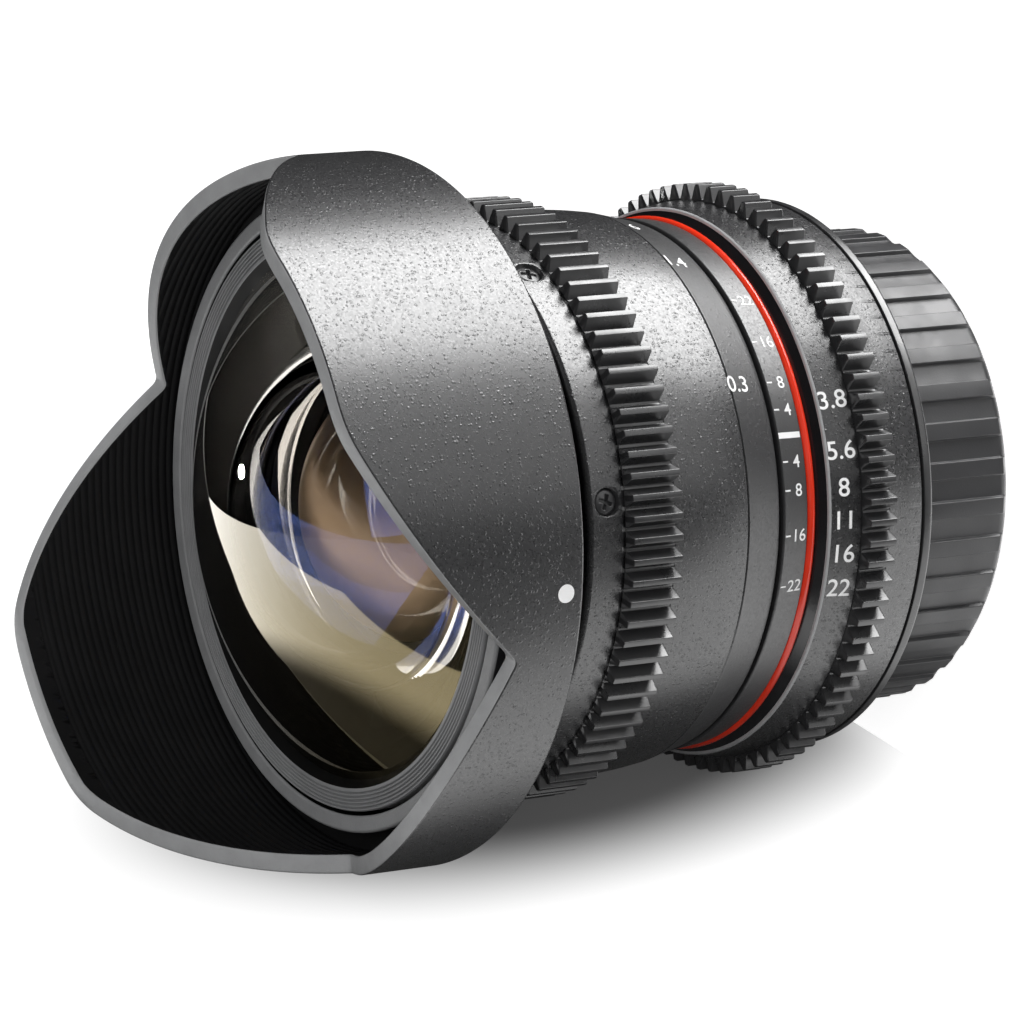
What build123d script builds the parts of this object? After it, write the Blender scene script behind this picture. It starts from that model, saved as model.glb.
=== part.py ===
from build123d import *
import math
import os

# Manual fisheye lens, standing on its rear cap with the glass facing up.
# Lengths are in millimetres. z runs along the optical axis, from the back of the cap to the petal tips.
# The side with the index line is the near side, towards -y. Angles are turns about z, in degrees.

# Fits
running_gap = 0.05
face_gap = 0.15
glass_gap = 0.05
cut_margin = 2.0

# Rear cap
cap_height = 13.4
cap_rib_height = 0.6
cap_rib_count = 38
cap_rib_angle = -93.4
cap_back = 2.2
cap_wall = 3.8
cap_bore_gap = 0.8
cap_lip_step = 0.6
cap_edge = 1.0
cap_foot_inset = 1.4
cap_foot_depth = 0.5
cap_lug_gap = 0.25
cap_lug_low = 9.9
cap_lug_high = 11.3
cap_lug_width = 50.0

# Bayonet mount
seat_gap = 0.1
flange_thickness = 1.8
flange_radius = 29.0
throat_radius = 21.8
bayonet_radius = 23.2
bayonet_low = 7.2
lug_radius = 24.6
lug_low = 8.2
lug_high = 9.7
lug_width = 60.0
lug_count = 3
mount_screw_count = 4
mount_screw_angle = 45.0
mount_screw_inset = 2.6
mount_screw_head_radius = 1.3
mount_screw_radius = 0.8
mount_screw_head = 0.9
mount_screw_tip_gap = 0.2
baffle_wall = 0.8
baffle_low = 9.4
baffle_high = 13.6
baffle_opening = 12.5

# Fixed barrel
barrel_radius = 31.2
barrel_wall = 1.8
barrel_top = 70.4
tail_rise = 3.2
tail_top = 16.7
tail_edge = 0.35
plate_top = 18.6
plate_bore = 16.0
spigot_wall = 2.0
spigot_top = 19.6
web_bore_gap = 0.5
web_low = 38.5
web_high = 40.5

# Gears: both rings carry standard film gear teeth, so that one follow-focus drive meshes with either
gear_module = 0.8
gear_rise = 4.8
pressure_angle = 20.0
addendum_share = 1.0
dedendum_share = 1.25
aperture_tooth_angle = -94.72
focus_tooth_angle = -89.5

# Aperture ring
aperture_sleeve = 1.65
aperture_gear_low = 22.4
aperture_gear_high = 26.4
aperture_band_rise = 3.1
aperture_shoulder_rise = 3.6
aperture_scale_rise = 2.9
aperture_lip_z = 30.6
aperture_nose_rise = 1.3
aperture_nose_z = 31.55

# Red ring and index ring
red_low = 31.8
red_high = 32.9
red_rise = 2.05
red_edge = 0.35
index_top = 36.6
index_low_rise = 1.6
index_high_rise = 1.95

# Focus ring
focus_low = 37.1
focus_low_rise = 1.8
focus_edge = 0.2
focus_line_z = 42.5
focus_line_rise = 3.1
focus_line_depth = 0.15
focus_full_rise = 3.7
focus_full_z = 48.5
focus_gear_low = 53.5
focus_gear_high = 60.5
focus_sleeve = 1.75
focus_sleeve_top = 65.2
band_top = 65.4
band_edge = 0.3
band_screw_count = 7
band_screw_z = 63.0
band_screw_angle = -89.84
band_screw_head_radius = 1.5
band_screw_hole_radius = 1.7
band_screw_sink = 0.35
band_screw_head = 0.9
band_screw_radius = 0.85
band_screw_reach = 2.9

# Focus travel: pins on the front cell pass through straight slots in the barrel into cam slots of the ring
focus_travel = 0.27
focus_turn = 125.0
follower_radius = 1.0
follower_z = 57.0
follower_inset = 1.8
follower_reach = 1.0
follower_end_gap = 0.15
follower_count = 2
follower_angle = -150.0

# Front barrel and hood bayonet
front_barrel_low = 65.7
front_throat_rise = 2.0
front_throat_z = 66.8
front_barrel_wall = 2.1
front_flare_z = 69.4
front_bore_gap = 0.5
front_barrel_top = 79.8
front_barrel_edge = 0.25
hood_lug_rise = 1.3
hood_lug_low = 73.6
hood_lug_high = 75.0
hood_lug_width = 16.0
hood_slot_width = 19.0
hood_slot_gap = 0.3
hood_lug_angle = 45.0
hood_twist = 22.8

# Petal hood
hood_wall = 2.3
hood_low = 71.8
hood_edge = 0.3
hood_seat_gap = 0.1
hood_bore_step = 2.5
hood_floor_low = 75.15
hood_floor_top = 77.0
rib_pitch = 1.02
rib_depth = 0.45
smooth_band = 3.5
smooth_band_step = 0.15
petal_rise = 25.0
short_petal_share = 0.34
notch_share = 0.12
notch_half_width_share = 0.558891
tip_half_width_share = 0.95612
notch_round = 1.2
tip_round = 1.6
short_petal_angle = 33.0

# Front group
cell_low = 52.0
cell_wall = 2.55
cell_web_low = 61.0
cell_web_high = 63.0
cell_web_bore = 9.8
cell_flange_low = 70.9
cell_cup_wall = 2.85
cell_cup_top = 78.5
cell_seat_z = 72.2
cell_throat_radius = 19.9
cell_step_radius = 18.6
bezel_skirt = 0.5
bezel_skirt_low = 74.5
bezel_top = 79.9
bezel_plate_low = 78.55
bezel_opening_step = 0.65
bezel_lip_overlap = 0.4
bezel_lip = 0.15
bezel_groove_pitch = 0.45
bezel_groove_count = 5
bezel_groove_depth = 0.25
bezel_groove_land = 0.35

front_edge_radius = 32.4
front_edge_z = 78.45
front_curve = 60.0
front_rear_curve = 21.5
front_rear_vertex = 85.0

second_radius = 17.55
second_front_curve = 24.0
second_front_vertex = 75.5
second_rear_curve = 11.5
second_rear_vertex = 73.3
second_retainer_bore = 17.05
second_retainer_high = 69.7

inner_cell_low = 47.4
inner_cell_radius = 13.6
inner_cell_flange_low = 59.4
third_radius = 10.5
third_low = 55.4
third_front_curve = 38.0
third_front_dip = 1.2
third_rear_curve = 15.0
third_rear_dip = 2.2
doublet_radius = 9.0
doublet_low = 48.2
doublet_joint = 49.8
doublet_high = 54.2
doublet_curve = 26.0
doublet_joint_curve = 20.0
doublet_spacer_bore = 8.2
inner_cell_opening = 7.5

# Iris
iris_low = 42.5
iris_plate = 1.2
iris_wall = 1.3
iris_screw_gap = 0.2
iris_opening_share = 0.425806
iris_wall_top = 46.1
iris_cover = 0.6
blade_count = 6
blade_thickness = 0.15
blade_step = 0.25
blade_first_z = 43.8
blade_pivot_inset = 4.7
blade_arm_share = 1.083871
blade_inner_share = 0.483871
blade_outer_share = 0.83871
blade_ear_radius = 1.3
blade_open_angle = 182.6
blade_turn = 20.1
blade_sweep = 112.0
blade_root_angle = 6.0
pin_radius = 0.5
pin_gap = 0.08
drive_pin_share = 0.167742
drive_pin_ear_radius = 0.9
cam_low = 45.3
cam_high = 46.0
cam_bore_share = 0.516129
cam_gap = 0.1
aperture_from_open = 6.1
aperture_throw = 38.5
cam_slot_shares = (0.0, 0.5, 1.0)

# Link from the aperture ring to the cam plate
link_angle = 90.0
link_low = 20.1
link_pin_high = 21.9
link_thickness = 1.4
link_clearance = 1.0
link_bite = 0.6
link_width = 10.0
link_clear_angle = 1.0
link_slot_low = 20.0
link_slot_high = 22.0
link_web_clearance = 0.4

# Rear cell
rear_cell_low = 20.4
rear_cell_radius = 14.5
rear_cell_flange_gap = 1.1
cell_screw_inset = 2.1
cell_screw_count = 3
cell_screw_angle = 10.0
cell_screw_radius = 0.9
cell_screw_head_radius = 1.7
cell_screw_head = 1.1
cell_screw_tip_z = 38.9
rear_doublet_radius = 9.5
rear_doublet_high = 41.2
rear_doublet_joint = 37.6
rear_doublet_low = 31.5
rear_doublet_curve = 24.0
rear_doublet_joint_curve = 17.0
rear_stop_radius = 7.2
spacer_bore = 8.0
rear_element_radius = 11.0
rear_element_high = 29.8
rear_element_low = 24.0
rear_element_curve = 26.0
rear_retainer_bore = 9.6
rear_retainer_low = 21.4

# Worked-out sizes
cap_bore_radius = lug_radius + cap_bore_gap
cap_land_radius = cap_bore_radius + cap_wall
cap_rib_radius = cap_land_radius + cap_rib_height
cap_lip_radius = cap_land_radius - cap_lip_step
cap_foot_radius = cap_bore_radius - cap_foot_inset
cap_lug_radius = bayonet_radius + cap_lug_gap
mount_screw_circle = flange_radius - mount_screw_inset
mount_screw_tip_z = tail_top - mount_screw_tip_gap
barrel_bore = barrel_radius - barrel_wall
tail_radius = barrel_radius + tail_rise
spigot_bore = barrel_bore - spigot_wall
aperture_sleeve_radius = barrel_radius + aperture_sleeve
aperture_band_radius = barrel_radius + aperture_band_rise
aperture_shoulder_radius = barrel_radius + aperture_shoulder_rise
aperture_scale_radius = barrel_radius + aperture_scale_rise
aperture_nose_radius = barrel_radius + aperture_nose_rise
red_radius = barrel_radius + red_rise
index_low_radius = barrel_radius + index_low_rise
index_high_radius = barrel_radius + index_high_rise
focus_low_radius = barrel_radius + focus_low_rise
focus_line_radius = barrel_radius + focus_line_rise
focus_full_radius = barrel_radius + focus_full_rise
focus_sleeve_radius = barrel_radius + focus_sleeve
follower_inner = barrel_bore - follower_inset
follower_outer = barrel_radius + follower_reach
follower_groove_radius = follower_outer + follower_end_gap
link_outer = barrel_bore - link_clearance
link_inner = link_outer - link_thickness
link_reach = barrel_radius + link_bite
link_web_clear = link_inner - link_web_clearance
web_bore = rear_cell_radius + web_bore_gap
rear_cell_flange_radius = link_web_clear - rear_cell_flange_gap
cell_screw_circle = rear_cell_flange_radius - cell_screw_inset
iris_radius = cell_screw_circle - cell_screw_head_radius - iris_screw_gap
iris_wall_bore = iris_radius - iris_wall
blade_pivot_circle = iris_wall_bore - blade_pivot_inset
blade_arm = blade_pivot_circle * blade_arm_share
blade_inner_curve = blade_pivot_circle * blade_inner_share
blade_outer_curve = blade_pivot_circle * blade_outer_share
drive_pin_arm = blade_pivot_circle * drive_pin_share
iris_opening = blade_pivot_circle * iris_opening_share
cam_bore = blade_pivot_circle * cam_bore_share
cam_radius = iris_wall_bore - cam_gap
cell_radius = barrel_bore - running_gap
cell_wall_radius = cell_radius - cell_wall
cell_cup_radius = front_edge_radius + glass_gap + cell_cup_wall
bezel_radius = cell_cup_radius + bezel_skirt
bezel_lip_radius = front_edge_radius - bezel_lip_overlap
bezel_opening = front_edge_radius + bezel_opening_step
bezel_groove_start = bezel_opening + bezel_groove_land
front_bore = bezel_radius + front_bore_gap
front_throat_radius = barrel_radius + front_throat_rise
front_barrel_radius = front_bore + front_barrel_wall
hood_seat_radius = front_barrel_radius + hood_seat_gap
hood_bore = hood_seat_radius + hood_bore_step
hood_radius = hood_bore + hood_wall
hood_lug_radius = front_barrel_radius + hood_lug_rise
hood_slot_radius = hood_lug_radius + hood_slot_gap
smooth_band_radius = hood_bore + smooth_band_step
long_petal_z = hood_floor_top + petal_rise
short_petal_z = hood_floor_top + petal_rise * short_petal_share
notch_z = hood_floor_top + petal_rise * notch_share
notch_half_width = hood_radius * notch_half_width_share
tip_half_width = hood_radius * tip_half_width_share
rib_count = int((petal_rise - smooth_band) / rib_pitch)
tooth_count = round(2 * (barrel_radius + gear_rise) / gear_module)
flange_z = cap_height + seat_gap
flange_front = flange_z + flange_thickness
gear_pitch_radius = gear_module * tooth_count / 2
gear_tip_radius = gear_pitch_radius + addendum_share * gear_module
gear_root_radius = gear_pitch_radius - dedendum_share * gear_module
iris_plate_top = iris_low + iris_plate
blade_rest_angle = blade_open_angle + blade_turn * aperture_from_open / aperture_throw


def sag(curve, radius):
    """How far a sphere falls away from its top at this distance from the axis."""
    return curve - math.sqrt(curve**2 - radius**2)


second_seat_z = second_front_vertex - sag(second_front_curve, second_retainer_bore)
doublet_seat_z = doublet_high - sag(doublet_curve, doublet_spacer_bore)
rear_seat_z = rear_element_high - sag(rear_element_curve, rear_doublet_radius + glass_gap)
front_vertex_z = front_edge_z + sag(front_curve, front_edge_radius)
bezel_lip_z = front_vertex_z - sag(front_curve, bezel_lip_radius)


def turned(*outline):
    """A piece turned about the optical axis from its (radius, height) outline."""
    return revolve(Plane.XZ * make_face(Polyline(*outline, close=True)), Axis.Z)


def tube(inner, outer, low, high):
    return turned((inner, low), (outer, low), (outer, high), (inner, high))


def disc(radius, low, high):
    return Pos(0, 0, low) * Cylinder(radius, high - low, align=(Align.CENTER, Align.CENTER, Align.MIN))


def sector(inner, outer, low, high, centre, width):
    """A piece of a ring, width degrees wide about the centre angle."""
    face = Plane.XZ * Pos((inner + outer) / 2, (low + high) / 2) * Rectangle(outer - inner, high - low)
    return Rot(0, 0, centre - width / 2) * revolve(face, Axis.Z, width)


def radial_pin(radius, inner, outer, angle, height):
    """A round pin that points straight out from the axis."""
    pin = Cylinder(radius, outer - inner, align=(Align.CENTER, Align.CENTER, Align.MIN))
    return Rot(0, 0, angle) * Pos(inner, 0, height) * Rot(0, 90, 0) * pin


def spread(count, first=0.0):
    return [first + 360 * k / count for k in range(count)]


def polar(radius, angle):
    return (radius * math.cos(math.radians(angle)), radius * math.sin(math.radians(angle)))


def ball(radius, z):
    return Pos(0, 0, z) * Sphere(radius)


# Rear cap


def rear_cap():
    """Cup with flat grip lands outside and three bayonet lugs inside."""
    rib = 360 / cap_rib_count
    corners = []
    for angle in spread(cap_rib_count, cap_rib_angle):
        corners += [polar(cap_rib_radius, angle), polar(cap_rib_radius, angle + rib / 2)]
        corners += [polar(cap_land_radius, angle + rib / 2), polar(cap_land_radius, angle + rib)]
    grip = extrude(make_face(Polyline(*corners, close=True)), cap_height)
    outside = turned(
        (0, 0),
        (cap_lip_radius, 0),
        (cap_rib_radius, cap_edge),
        (cap_rib_radius, cap_height - cap_edge),
        (cap_land_radius, cap_height),
        (0, cap_height),
    )
    cap = (grip & outside) - disc(cap_bore_radius, cap_back, cap_height + cut_margin)
    cap -= disc(cap_foot_radius, -cut_margin, cap_foot_depth)
    for angle in spread(lug_count):
        cap += sector(cap_lug_radius, cap_bore_radius, cap_lug_low, cap_lug_high, angle, cap_lug_width)
    return cap


# Bayonet mount


def mount_flange():
    flange = turned(
        (throat_radius, bayonet_low),
        (bayonet_radius, bayonet_low),
        (bayonet_radius, flange_z),
        (flange_radius, flange_z),
        (flange_radius, flange_front),
        (throat_radius, flange_front),
    )
    for angle in spread(lug_count):
        flange += sector(throat_radius, lug_radius, lug_low, lug_high, angle, lug_width)
    for angle in spread(mount_screw_count, mount_screw_angle):
        flange -= Pos(*polar(mount_screw_circle, angle)) * mount_screw()
    return flange


def mount_screw():
    """Countersunk screw at the origin's axis, its head level with the flange face."""
    cone = turned(
        (0, flange_z),
        (mount_screw_head_radius, flange_z),
        (mount_screw_radius, flange_z + mount_screw_head),
        (mount_screw_radius, mount_screw_tip_z),
        (0, mount_screw_tip_z),
    )
    return cone


def mount_screws():
    return [Pos(*polar(mount_screw_circle, a)) * mount_screw() for a in spread(mount_screw_count, mount_screw_angle)]


def rear_baffle():
    """Thin cone that stops stray light inside the mount."""
    return turned(
        (throat_radius, baffle_low),
        (throat_radius, baffle_low + baffle_wall),
        (baffle_opening + baffle_wall, baffle_high),
        (baffle_opening, baffle_high - baffle_wall),
        (throat_radius - baffle_wall, baffle_low),
    )


# Fixed barrel


def rear_barrel():
    barrel = turned(
        (plate_bore, flange_front),
        (tail_radius - tail_edge, flange_front),
        (tail_radius, flange_front + tail_edge),
        (tail_radius, tail_top),
        (barrel_bore, tail_top),
        (barrel_bore, spigot_top),
        (spigot_bore, spigot_top),
        (spigot_bore, plate_top),
        (plate_bore, plate_top),
    )
    for angle in spread(mount_screw_count, mount_screw_angle):
        barrel -= Pos(*polar(mount_screw_circle, angle)) * disc(mount_screw_radius, flange_z, mount_screw_tip_z)
    return barrel


def main_barrel():
    """Tube with a web for the rear cell, straight follower slots and an arc slot for the link."""
    barrel = turned(
        (barrel_bore, tail_top),
        (barrel_radius, tail_top),
        (barrel_radius, barrel_top),
        (barrel_bore, barrel_top),
        (barrel_bore, web_high),
        (web_bore, web_high),
        (web_bore, web_low),
        (barrel_bore, web_low),
    )
    slot = radial_pin(follower_radius + running_gap, follower_inner, follower_outer, 0, 0)
    ends = slot + Pos(0, 0, -focus_travel - running_gap) * slot
    span = Pos((follower_inner + follower_outer) / 2, 0, -(focus_travel + running_gap) / 2)
    ends += span * Box(
        follower_outer - follower_inner, 2 * (follower_radius + running_gap), focus_travel + running_gap
    )
    for angle in spread(follower_count, follower_angle):
        barrel -= Rot(0, 0, angle) * Pos(0, 0, follower_z) * ends
    for angle in spread(cell_screw_count, cell_screw_angle):
        barrel -= Pos(*polar(cell_screw_circle, angle)) * disc(cell_screw_radius, cell_screw_tip_z, web_high)
    centre, width = link_window()
    barrel -= sector(link_inner, barrel_radius + cut_margin, link_slot_low, link_slot_high, centre, width)
    barrel -= sector(link_web_clear, barrel_bore, web_low - cut_margin, web_high + cut_margin, centre, width)
    return barrel


def link_window():
    """Middle and width of the arc that the aperture link sweeps, with clearance."""
    low = link_angle - aperture_from_open - link_width / 2 - link_clear_angle
    high = link_angle + aperture_throw - aperture_from_open + link_width / 2 + link_clear_angle
    return (low + high) / 2, high - low


def index_ring():
    return turned(
        (barrel_radius, red_high),
        (index_low_radius, red_high),
        (index_high_radius, index_top - focus_edge),
        (index_high_radius - focus_edge, index_top),
        (barrel_radius, index_top),
    )


def red_ring():
    return turned(
        (barrel_radius, red_low),
        (red_radius - red_edge, red_low),
        (red_radius, red_low + red_edge),
        (red_radius, red_high - red_edge),
        (red_radius - red_edge, red_high),
        (barrel_radius, red_high),
    )


def front_barrel():
    """Flared ring in front of the focus ring, with three lugs for the hood."""
    barrel = turned(
        (barrel_radius, front_barrel_low),
        (front_throat_radius, front_barrel_low),
        (front_throat_radius, front_throat_z),
        (front_barrel_radius, front_flare_z),
        (front_barrel_radius, front_barrel_top - front_barrel_edge),
        (front_barrel_radius - front_barrel_edge, front_barrel_top),
        (front_bore, front_barrel_top),
        (front_bore, barrel_top),
        (barrel_radius, barrel_top),
    )
    for angle in spread(lug_count, hood_lug_angle):
        barrel += sector(front_bore, hood_lug_radius, hood_lug_low, hood_lug_high, angle, hood_lug_width)
    return barrel


# Gears


def gear_ring(bore, low, high):
    """Ring of straight-flanked teeth: the width at each height follows from module and pressure angle."""
    slope = math.tan(math.radians(pressure_angle))
    half_pitch = math.pi * gear_module / 4
    half_tip = math.degrees((half_pitch - (gear_tip_radius - gear_pitch_radius) * slope) / gear_tip_radius)
    half_root = math.degrees((half_pitch + (gear_pitch_radius - gear_root_radius) * slope) / gear_root_radius)
    corners = []
    for middle in spread(tooth_count):
        corners += [polar(gear_root_radius, middle - half_root), polar(gear_tip_radius, middle - half_tip)]
        corners += [polar(gear_tip_radius, middle + half_tip), polar(gear_root_radius, middle + half_root)]
    face = make_face(Polyline(*corners, close=True)) - Circle(bore)
    return Pos(0, 0, low) * extrude(face, high - low)


# Aperture ring


def aperture_ring():
    ring = turned(
        (barrel_radius + running_gap, tail_top + face_gap),
        (aperture_sleeve_radius, tail_top + face_gap),
        (aperture_sleeve_radius, aperture_gear_high),
        (aperture_shoulder_radius, aperture_gear_high),
        (aperture_scale_radius, aperture_lip_z),
        (aperture_nose_radius, aperture_nose_z),
        (barrel_radius + running_gap, aperture_nose_z),
    )
    hole = sector(
        barrel_radius - cut_margin, link_reach, link_low, link_pin_high, link_angle, link_width
    )
    return ring - hole


def aperture_gear():
    """Toothed ring with the plain band behind the teeth."""
    band = turned(
        (aperture_sleeve_radius, tail_top + face_gap),
        (aperture_band_radius, tail_top + face_gap),
        (gear_root_radius, aperture_gear_low),
        (aperture_sleeve_radius, aperture_gear_low),
    )
    teeth = Rot(0, 0, aperture_tooth_angle) * gear_ring(
        aperture_sleeve_radius, aperture_gear_low, aperture_gear_high
    )
    return band + teeth


# Focus ring


def cam_groove():
    """Helical slot for one pin: it falls by the focus travel while the ring makes its whole turn."""
    half = follower_radius + running_gap
    path = Helix(focus_travel * 360 / focus_turn, focus_travel, barrel_radius, lefthand=True)
    section = Plane(origin=path @ 0, x_dir=(1, 0, 0), z_dir=path % 0)
    depth = follower_groove_radius - barrel_radius
    run = sweep(section * Rectangle(2 * depth, 2 * half), path=path, is_frenet=True)
    run = Pos(0, 0, follower_z - focus_travel) * Rot(0, 0, focus_turn) * run
    near = radial_pin(half, barrel_radius - depth, follower_groove_radius, 0, follower_z)
    far = radial_pin(half, barrel_radius - depth, follower_groove_radius, focus_turn, follower_z - focus_travel)
    return near + run + far


def focus_ring():
    """Barrel with the distance scale, and the sleeve that carries the gear."""
    sleeve_bore = barrel_radius + running_gap
    ring = turned(
        (sleeve_bore, focus_low),
        (focus_low_radius - focus_edge, focus_low),
        (focus_low_radius, focus_low + focus_edge),
        (focus_line_radius, focus_line_z - focus_line_depth),
        (focus_line_radius - focus_line_depth, focus_line_z),
        (focus_line_radius, focus_line_z + focus_line_depth),
        (focus_full_radius, focus_full_z),
        (gear_root_radius, focus_gear_low),
        (focus_sleeve_radius, focus_gear_low),
        (focus_sleeve_radius, focus_sleeve_top),
        (sleeve_bore, focus_sleeve_top),
    )
    for angle in spread(follower_count, follower_angle):
        ring -= Rot(0, 0, angle) * cam_groove()
    for angle in spread(band_screw_count, band_screw_angle):
        ring -= radial_pin(
            band_screw_radius, gear_root_radius - band_screw_reach, focus_sleeve_radius, angle, band_screw_z
        )
    return ring


def focus_gear():
    """Toothed ring with the plain band in front of it, which the screws hold to the sleeve."""
    band = turned(
        (focus_sleeve_radius, focus_gear_high),
        (gear_root_radius, focus_gear_high),
        (gear_root_radius, band_top - band_edge),
        (gear_root_radius - band_edge, band_top),
        (focus_sleeve_radius, band_top),
    )
    teeth = Rot(0, 0, focus_tooth_angle) * gear_ring(focus_sleeve_radius, focus_gear_low, focus_gear_high)
    gear = band + teeth
    outside = gear_root_radius + cut_margin
    seat = gear_root_radius - band_screw_sink - band_screw_head
    for angle in spread(band_screw_count, band_screw_angle):
        gear -= radial_pin(band_screw_hole_radius, seat, outside, angle, band_screw_z)
        gear -= radial_pin(band_screw_radius, focus_sleeve_radius - cut_margin, outside, angle, band_screw_z)
    return gear


def band_screws():
    """Pan-head screws, sunk below the band."""
    top = gear_root_radius - band_screw_sink
    head = radial_pin(band_screw_head_radius, top - band_screw_head, top, 0, band_screw_z)
    shank = radial_pin(band_screw_radius, gear_root_radius - band_screw_reach, top, 0, band_screw_z)
    return [Rot(0, 0, angle) * (head + shank) for angle in spread(band_screw_count, band_screw_angle)]


# Petal hood


def hood_shell():
    """Round shell with stray-light ribs inside, before the petals are cut."""
    ribs = []
    for k in range(rib_count):
        z = hood_floor_top + k * rib_pitch
        ribs += [(hood_bore, z), (hood_bore - rib_depth, z + rib_pitch)]
    ribs_top = hood_floor_top + rib_count * rib_pitch
    return turned(
        (hood_seat_radius, hood_low),
        (hood_radius - hood_edge, hood_low),
        (hood_radius, hood_low + hood_edge),
        (hood_radius, long_petal_z),
        (smooth_band_radius, long_petal_z),
        (smooth_band_radius, ribs_top),
        *reversed(ribs),
        (hood_seat_radius, hood_floor_top),
        (hood_seat_radius, hood_floor_low),
        (hood_slot_radius, hood_floor_low),
        (hood_slot_radius, hood_lug_low - face_gap),
        (hood_seat_radius, hood_lug_low - face_gap),
    )


def petal_cut():
    """All that stands above the rim: one outline cut straight through along the short petals."""
    rise = long_petal_z + cut_margin
    reach = hood_radius + cut_margin
    sides = Polyline(
        (notch_half_width, notch_z),
        (tip_half_width, long_petal_z),
        (reach, long_petal_z),
        (reach, rise),
        (-reach, rise),
        (-reach, long_petal_z),
        (-tip_half_width, long_petal_z),
        (-notch_half_width, notch_z),
    )
    crown = ThreePointArc(
        (-notch_half_width, notch_z), (0, short_petal_z), (notch_half_width, notch_z)
    )
    face = make_face(sides + crown)
    tips = face.vertices().group_by(Axis.Y)[-2].sort_by(lambda corner: abs(corner.X))[:2]
    face = fillet(tips, tip_round)
    face = fillet(face.vertices().group_by(Axis.Y)[0], notch_round)
    across = Plane(origin=(0, 0, 0), x_dir=(0, 1, 0), z_dir=(1, 0, 0))
    return Rot(0, 0, short_petal_angle) * extrude(across * face, hood_radius + cut_margin, both=True)


def hood():
    shell = hood_shell() - petal_cut()
    for angle in spread(lug_count, hood_lug_angle - hood_twist):
        shell -= sector(
            hood_seat_radius - cut_margin,
            hood_slot_radius,
            hood_low - cut_margin,
            hood_lug_low,
            angle,
            hood_slot_width,
        )
    return shell


# Front group


def front_cell():
    """Sliding carrier: sleeve, web for the inner cell, and the cup that seats the front element."""
    cell = turned(
        (cell_wall_radius, cell_low),
        (cell_radius, cell_low),
        (cell_radius, cell_flange_low),
        (cell_cup_radius, cell_flange_low),
        (cell_cup_radius, cell_cup_top),
        (front_edge_radius + glass_gap, cell_cup_top),
        (front_edge_radius + glass_gap, cell_seat_z),
        (cell_throat_radius, cell_seat_z),
        (cell_step_radius, cell_seat_z - cut_margin),
        (cell_step_radius, second_seat_z),
        (second_radius + glass_gap, second_seat_z),
        (second_radius + glass_gap, cell_web_high),
        (cell_web_bore, cell_web_high),
        (cell_web_bore, cell_web_low),
        (cell_wall_radius, cell_web_low),
    )
    for angle in spread(follower_count, follower_angle):
        cell -= radial_pin(follower_radius, follower_inner, cell_radius + cut_margin, angle, follower_z)
    return cell


def follower_pins():
    return [
        radial_pin(follower_radius, follower_inner, follower_outer, angle, follower_z)
        for angle in spread(follower_count, follower_angle)
    ]


def front_bezel():
    """Retaining ring with fine grooves in its face and a sloped inner wall down to the glass."""
    grooves = []
    for k in range(bezel_groove_count):
        start = bezel_groove_start + k * bezel_groove_pitch
        grooves += [(start, bezel_top), (start + bezel_groove_pitch / 2, bezel_top - bezel_groove_depth)]
    return turned(
        (bezel_lip_radius, bezel_lip_z),
        (bezel_lip_radius, bezel_lip_z + bezel_lip),
        (bezel_opening, bezel_top),
        *grooves,
        (bezel_groove_start + bezel_groove_count * bezel_groove_pitch, bezel_top),
        (bezel_radius, bezel_top - bezel_groove_depth),
        (bezel_radius, bezel_skirt_low),
        (cell_cup_radius, bezel_skirt_low),
        (cell_cup_radius, bezel_plate_low),
        (front_edge_radius, bezel_plate_low),
    )


def front_element():
    """Deep meniscus: a shallow dome outside, a small deep bowl inside."""
    dome = ball(front_curve, front_vertex_z - front_curve)
    blank = disc(front_edge_radius, cell_seat_z, long_petal_z) & dome
    return blank - ball(front_rear_curve, front_rear_vertex - front_rear_curve)


def second_element():
    dome = ball(second_front_curve, second_front_vertex - second_front_curve)
    blank = disc(second_radius, cell_web_high, second_front_vertex + cut_margin) & dome
    return blank - ball(second_rear_curve, second_rear_vertex - second_rear_curve)


def second_retainer():
    return tube(second_retainer_bore, cell_step_radius, second_seat_z, second_retainer_high)


def inner_cell():
    """Tube that holds the third element and the cemented doublet."""
    return turned(
        (inner_cell_opening, inner_cell_low),
        (inner_cell_radius, inner_cell_low),
        (inner_cell_radius, inner_cell_flange_low),
        (cell_wall_radius, inner_cell_flange_low),
        (cell_wall_radius, cell_web_low),
        (third_radius + glass_gap, cell_web_low),
        (third_radius + glass_gap, third_low),
        (doublet_radius + glass_gap, third_low),
        (doublet_radius + glass_gap, doublet_low),
        (inner_cell_opening, doublet_low),
    )


def third_element():
    blank = disc(third_radius, third_low, cell_web_low)
    blank -= ball(third_front_curve, cell_web_low + third_front_curve - third_front_dip)
    return blank - ball(third_rear_curve, third_low - third_rear_curve + third_rear_dip)


def front_doublet_crown():
    blank = disc(doublet_radius, doublet_low, doublet_high + cut_margin)
    blank = blank & ball(doublet_curve, doublet_high - doublet_curve)
    return blank & ball(doublet_joint_curve, doublet_joint + doublet_joint_curve)


def front_doublet_flint():
    blank = disc(doublet_radius, doublet_low, doublet_high)
    return blank - ball(doublet_joint_curve, doublet_joint + doublet_joint_curve)


def doublet_spacer():
    return tube(doublet_spacer_bore, doublet_radius + glass_gap, doublet_seat_z, third_low)


# Iris


def blade_centre(angle):
    """Centre of a blade's curved edge when its arm points at this angle from its pivot."""
    x, y = polar(blade_arm, angle)
    return blade_pivot_circle + x, y


def drive_pin_place(angle):
    """Place of the drive pin, which stands square to the blade's arm."""
    x, y = polar(drive_pin_arm, angle + 90)
    return blade_pivot_circle + x, y


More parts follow.
